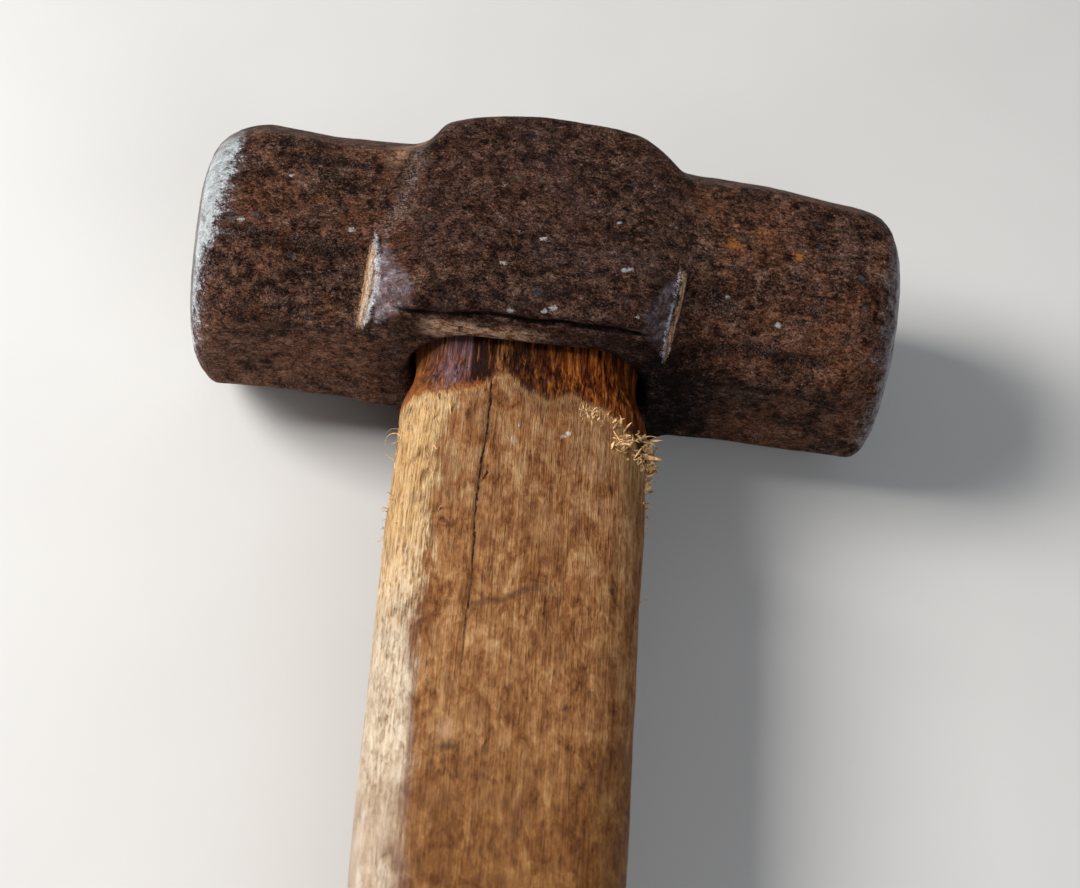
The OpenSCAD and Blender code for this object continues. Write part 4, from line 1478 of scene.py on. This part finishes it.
def wedge_steel():
    mat = Material("wedge_steel")
    patch = mat.noise(3.2, seed=61, rough=0.55)
    grit = mat.noise(0.9, seed=62, detail=4, rough=0.65)
    fine = mat.noise(0.3, seed=63, detail=2)
    bare = (patch + fine * 0.5).mask(0.70, 0.88)
    colour = (patch * 0.4 + grit * 0.6).ramp(
        (0.36, (0.040, 0.018, 0.010)), (0.47, (0.135, 0.075, 0.050)),
        (0.56, (0.25, 0.205, 0.185)), (0.68, (0.42, 0.40, 0.40)))
    colour = colour.coats(((0.50, 0.49, 0.50), bare * 0.6))
    return mat.finish(colour, grit * 0.6 + fine * 0.4, depth=0.12, strength=0.8,
                      rough=0.34 + grit * 0.42, metal=0.55 + bare * 0.4, spec=0.5)


def floor_paint():
    mat = Material("floor_paint")
    colour = mat.noise(60, seed=90, detail=4, rough=0.5).ramp(
        (0.3, (0.60, 0.595, 0.585)), (0.7, (0.64, 0.635, 0.625)))
    return mat.finish(colour, rough=0.75, spec=0.25)


# ---------------------------------------------------------------- splinters

# count, side (1 right, -1 left), range of y, of the angle up from the side in degrees,
# of length and of width, outward lift, curl's mean and spread, rise from the wood
SPLINTERS = (
    (70, 1, (-36.0, -31.8), (-2, 26), (1.4, 3.8), (0.70, 1.70), 1.0, (0.22, 0.40), 0.8),
    (30, 1, (-36.8, -31.5), (-2, 30), (1.2, 2.6), (0.25, 0.55), 1.0, (0.15, 0.50), 0.6),
    (30, 1, (-43.5, -36.8), (-2, 22), (1.0, 2.3), (0.35, 0.80), 0.9, (0.12, 0.35), 0.45),
    (60, 1, (-37.5, -31.5), (20, 42), (1.2, 2.8), (0.50, 1.20), 0.6, (0.10, 0.30), 0.28),
    (46, 1, (-32.6, -30.2), (42, 58), (0.5, 1.2), (0.25, 0.55), 0.30, (0.02, 0.08), 0.10),
    (14, -1, (-49.0, -44.5), (-6, 22), (1.2, 2.8), (0.20, 0.40), 0.9, (0.05, 0.2), 0.5),
    (40, -1, (-66.0, -33.0), (-4, 48), (1.2, 3.6), (0.22, 0.60), 0.5, (-0.02, 0.05), 0.10),
    (14, 1, (-60.0, -44.0), (-2, 25), (0.6, 1.8), (0.14, 0.34), 0.6, (-0.03, 0.08), 0.15),
    # a loose hair or two
    (4, -1, (-38.0, -33.0), (0, 20), (3.5, 5.0), (0.07, 0.10), 1.0, (0.5, 0.2), 0.5),
)


def unit(vector):
    return vector / np.linalg.norm(vector)


def strand(root, out, along, length, width, thick, bends, rise):
    """Rings of a flattened, tapering splinter that curls as it lifts from the wood.

    bends holds its curl, sideways drift and twist at each step.
    """
    steps, around = 9, 6
    curl, drift, twist = bends
    heading = unit(out * rise + along * 0.85)
    side = unit(np.cross(out, along))
    spot = np.array(root, float)
    rings = []
    for i in range(steps):
        t = i / (steps - 1)
        taper = (1 - 0.80 * t**1.6) * (0.80 + 0.20 * math.sin(4.1 * t + width * 9))
        up = unit(np.cross(heading, side))
        ring = []
        for k in range(around):
            a = 2 * math.pi * k / around
            ring.append(spot + side * (width / 2 * taper * math.cos(a))
                        + up * (thick / 2 * taper * math.sin(a)))
        rings.append(ring)
        heading = heading * math.cos(curl) + up * math.sin(curl)
        heading = unit(heading + side * drift)
        side = side + up * twist
        side -= heading * (side @ heading)
        side = unit(side)
        spot = spot + heading * (length / (steps - 1))
    return rings


def build_splinters():
    rng = np.random.default_rng(71)
    points, faces = [], []
    for count, side, ys, angles, lengths, widths, lift, curl, rise in SPLINTERS:
        for _ in range(count):
            y = rng.uniform(*ys)
            a = math.radians(rng.uniform(*angles))
            if side < 0:
                a = math.pi - a
            r = float(handle_radius(np.array([a]), np.array([y]))[0]) - 0.45
            root = np.array([r * math.cos(a), y, r * math.sin(a)])
            half_width = handle_size(np.array([y]))[0][0]
            out_x = abs(math.cos(a)) ** 1.3 * np.sign(math.cos(a)) / half_width * 16
            out = unit(np.array([out_x, 0, np.sin(a) * 0.9]))
            out = unit(out * lift + np.array([0, rng.normal(0, 0.25), rng.normal(0, 0.2)]))
            along = unit(np.array([rng.normal(0, 0.15), rng.choice([-1.0, 1.0], p=[0.35, 0.65]),
                                   rng.normal(0, 0.15)]))
            rings = strand(root, out, along, rng.uniform(*lengths), rng.uniform(*widths),
                           rng.uniform(0.12, 0.26),
                           (rng.normal(*curl), rng.normal(0, 0.12), rng.normal(0, 0.25)), rise)
            skin, skin_faces = loft(rings)
            faces += [[len(points) + i for i in face] for face in skin_faces]
            points += list(skin)
    ob = mesh_object("handle_splinters", points, faces)
    fix_normals(ob)
    return ob


# ---------------------------------------------------------------- wedges and their slots


def build_wedge(node, voxel, grain, seed):
    """The CAD wedge's own shape, made of small even quads and roughened inwards."""
    ob = bpy.data.objects.new(node + "_visual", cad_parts[node].data.copy())
    ob.data.materials.clear()
    bpy.context.scene.collection.objects.link(ob)
    fix_normals(ob)
    mod = ob.modifiers.new("even", "REMESH")
    mod.mode = "VOXEL"
    mod.voxel_size = (voxel * 1) * MM
    apply_modifiers(ob)
    pts, normals = get_mm(ob.data), normals_of(ob.data)
    top = smooth(0.6, 0.9, normals[:, 1]) * smooth(END_Y - 3, END_Y - 1, pts[:, 1])
    lift = -0.03 - 0.03 * (1 + noise(pts, grain, seed=seed))
    lift -= top * 0.16 * (1 + noise(pts, 1.6, seed=seed + 1, gain=0.6))
    set_mm(ob.data, pts + lift[:, None] * normals)
    return ob


def cutter(name, points, faces):
    ob = mesh_object(name, points, faces, smooth_shade=False)
    fix_normals(ob)
    return ob


def kerf_cutter():
    """Saw kerf for the wooden wedge: a prism along X, widening towards the sawn end."""
    low, high = box_mm("wooden_wedge")
    top, tip = (high[2] - low[2]) + 0.12, 1.72  # widths
    slope = (top - tip) / (high[1] - low[1]) / 2
    a, b = tip / 2, top / 2 + slope * 3
    outline = [(low[1] - 3, -a + 0.05), (low[1], -a), (high[1] + 3, -b), (high[1] + 3, b),
               (low[1], a), (low[1] - 3, a - 0.05)]
    n = len(outline)
    points = [(x, y, z) for x in (-30, 30) for y, z in outline]
    faces = [tuple(range(n - 1, -1, -1)), tuple(range(n, 2 * n))]
    faces += [(i, (i + 1) % n, n + (i + 1) % n, n + i) for i in range(n)]
    return cutter("kerf", points, faces)


def slot_cutter(node):
    """Slot for a steel wedge, in three square-cornered rings along Y."""
    low, high = box_mm(node)
    centre, half = (low[0] + high[0]) / 2, (high[2] - low[2]) / 2 + 0.06
    thick = (high[0] - low[0]) / 2 + 0.06
    points = []
    for y, wide in ((low[1] - 0.1, 0.5), (high[1] + 0.02, thick), (high[1] + 3, thick)):
        points += [(centre - wide, y, -half), (centre + wide, y, -half),
                   (centre + wide, y, half), (centre - wide, y, half)]
    faces = [(0, 1, 2, 3), (8, 9, 10, 11)]
    for r in (0, 4):
        faces += [(r + i, r + (i + 1) % 4, r + 4 + (i + 1) % 4, r + 4 + i) for i in range(4)]
    return cutter("slot_" + node, points, faces)


# ---------------------------------------------------------------- build and dress

head = build_head()
handle = build_handle()
subtract(handle, [kerf_cutter(), slot_cutter("steel_wedge_left"),
                  slot_cutter("steel_wedge_right")])
splinters = build_splinters()
plug = build_wedge("wooden_wedge", voxel=0.30, grain=[0.5, 6, 0.5], seed=201)
shim_left = build_wedge("steel_wedge_left", voxel=0.22, grain=[1.2, 2.0, 1.2], seed=211)
shim_right = build_wedge("steel_wedge_right", voxel=0.22, grain=[1.2, 2.0, 1.2], seed=221)
head_mat, handle_mat, splinter_mat = forged_steel(), handle_wood(), splinter_wood()
plug_mat, shim_mat = wedge_wood(), wedge_steel()
# object, CAD node it replaces, slot, material
for ob, node, slot, material in (
    (head, "head", "forged_steel", head_mat),
    (handle, "handle", "handle_wood", handle_mat),
    (splinters, None, "handle_wood", splinter_mat),
    (plug, "wooden_wedge", "wedge_wood", plug_mat),
    (shim_left, "steel_wedge_left", "wedge_steel", shim_mat),
    (shim_right, "steel_wedge_right", "wedge_steel", shim_mat),
):
    ob.data.materials.clear()
    ob.data.materials.append(material)
    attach(ob, "root")
    if node:
        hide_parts(node)

# ---------------------------------------------------------------- stage and light

FLOOR_HALF = 3.0  # metres


def build_floor():
    mesh = bpy.data.meshes.new("floor")
    s = FLOOR_HALF
    mesh.from_pydata([(-s, -s, 0), (s, -s, 0), (s, s, 0), (-s, s, 0)], [], [(0, 1, 2, 3)])
    floor = place("floor", mesh)
    mesh.materials.append(floor_paint())


def build_camera():
    data = bpy.data.cameras.new("camera")
    data.lens = 76.52
    data.sensor_width = 36.0
    camera = place("camera", data)
    # aimed at a point in mm about the head's axis, from a distance in mm
    turn, height, roll = math.radians(-6.93), math.radians(56.96), math.radians(12.36)
    target, distance = np.array([2.97, -29.66, 0.0]), 358.30
    back = np.array([math.sin(turn) * math.cos(height), -math.cos(turn) * math.cos(height),
                     math.sin(height)])
    level = np.array([math.cos(turn), math.sin(turn), 0.0])
    upright = np.cross(level, -back)
    right = math.cos(roll) * level + math.sin(roll) * upright
    up = -math.sin(roll) * level + math.cos(roll) * upright
    location = (target + distance * back + [0, 0, AXIS_Z]) * MM
    matrix = Matrix.Identity(4)
    for i in range(3):
        matrix[i][0], matrix[i][1], matrix[i][2], matrix[i][3] = right[i], up[i], back[i], location[i]
    camera.matrix_world = matrix
    bpy.context.scene.camera = camera
    # a shallow depth of field: sharp at the head, soft towards the handle's end
    focus = place("focus", None)
    focus.location = (Vector((-24.0, -14.5, 14.5)) + Vector((0, 0, AXIS_Z))) * MM
    data.dof.use_dof = True
    data.dof.focus_object = focus
    data.dof.aperture_fstop = 34.0


def area_light(name, location, aim, size, power, colour):
    data = bpy.data.lights.new(name, "AREA")
    data.energy, data.color = power, colour
    data.shape = "RECTANGLE"
    data.size, data.size_y = size, size
    ob = place(name, data)
    ob.location = location
    ob.rotation_mode = "QUATERNION"
    ob.rotation_quaternion = (Vector(aim) - Vector(location)).to_track_quat("-Z", "Y")


build_floor()
build_camera()
area_light("key", location=(-0.56, 0.03, 0.50), aim=(0, -0.03, 0.02), size=0.34, power=8.4,
           colour=(1.0, 0.975, 0.94))
area_light("fill", location=(0.30, -0.60, 0.50), aim=(0, -0.05, 0.02), size=0.6, power=1.8,
           colour=(0.92, 0.96, 1.0))
world = bpy.data.worlds.new("world")
bpy.context.scene.world = world
world.use_nodes = True
sky = world.node_tree.nodes["Background"]
sky.inputs["Color"].default_value = (0.92, 0.95, 1.0, 1)
sky.inputs["Strength"].default_value = 0.22
bpy.context.scene.view_settings.view_transform = "Standard"
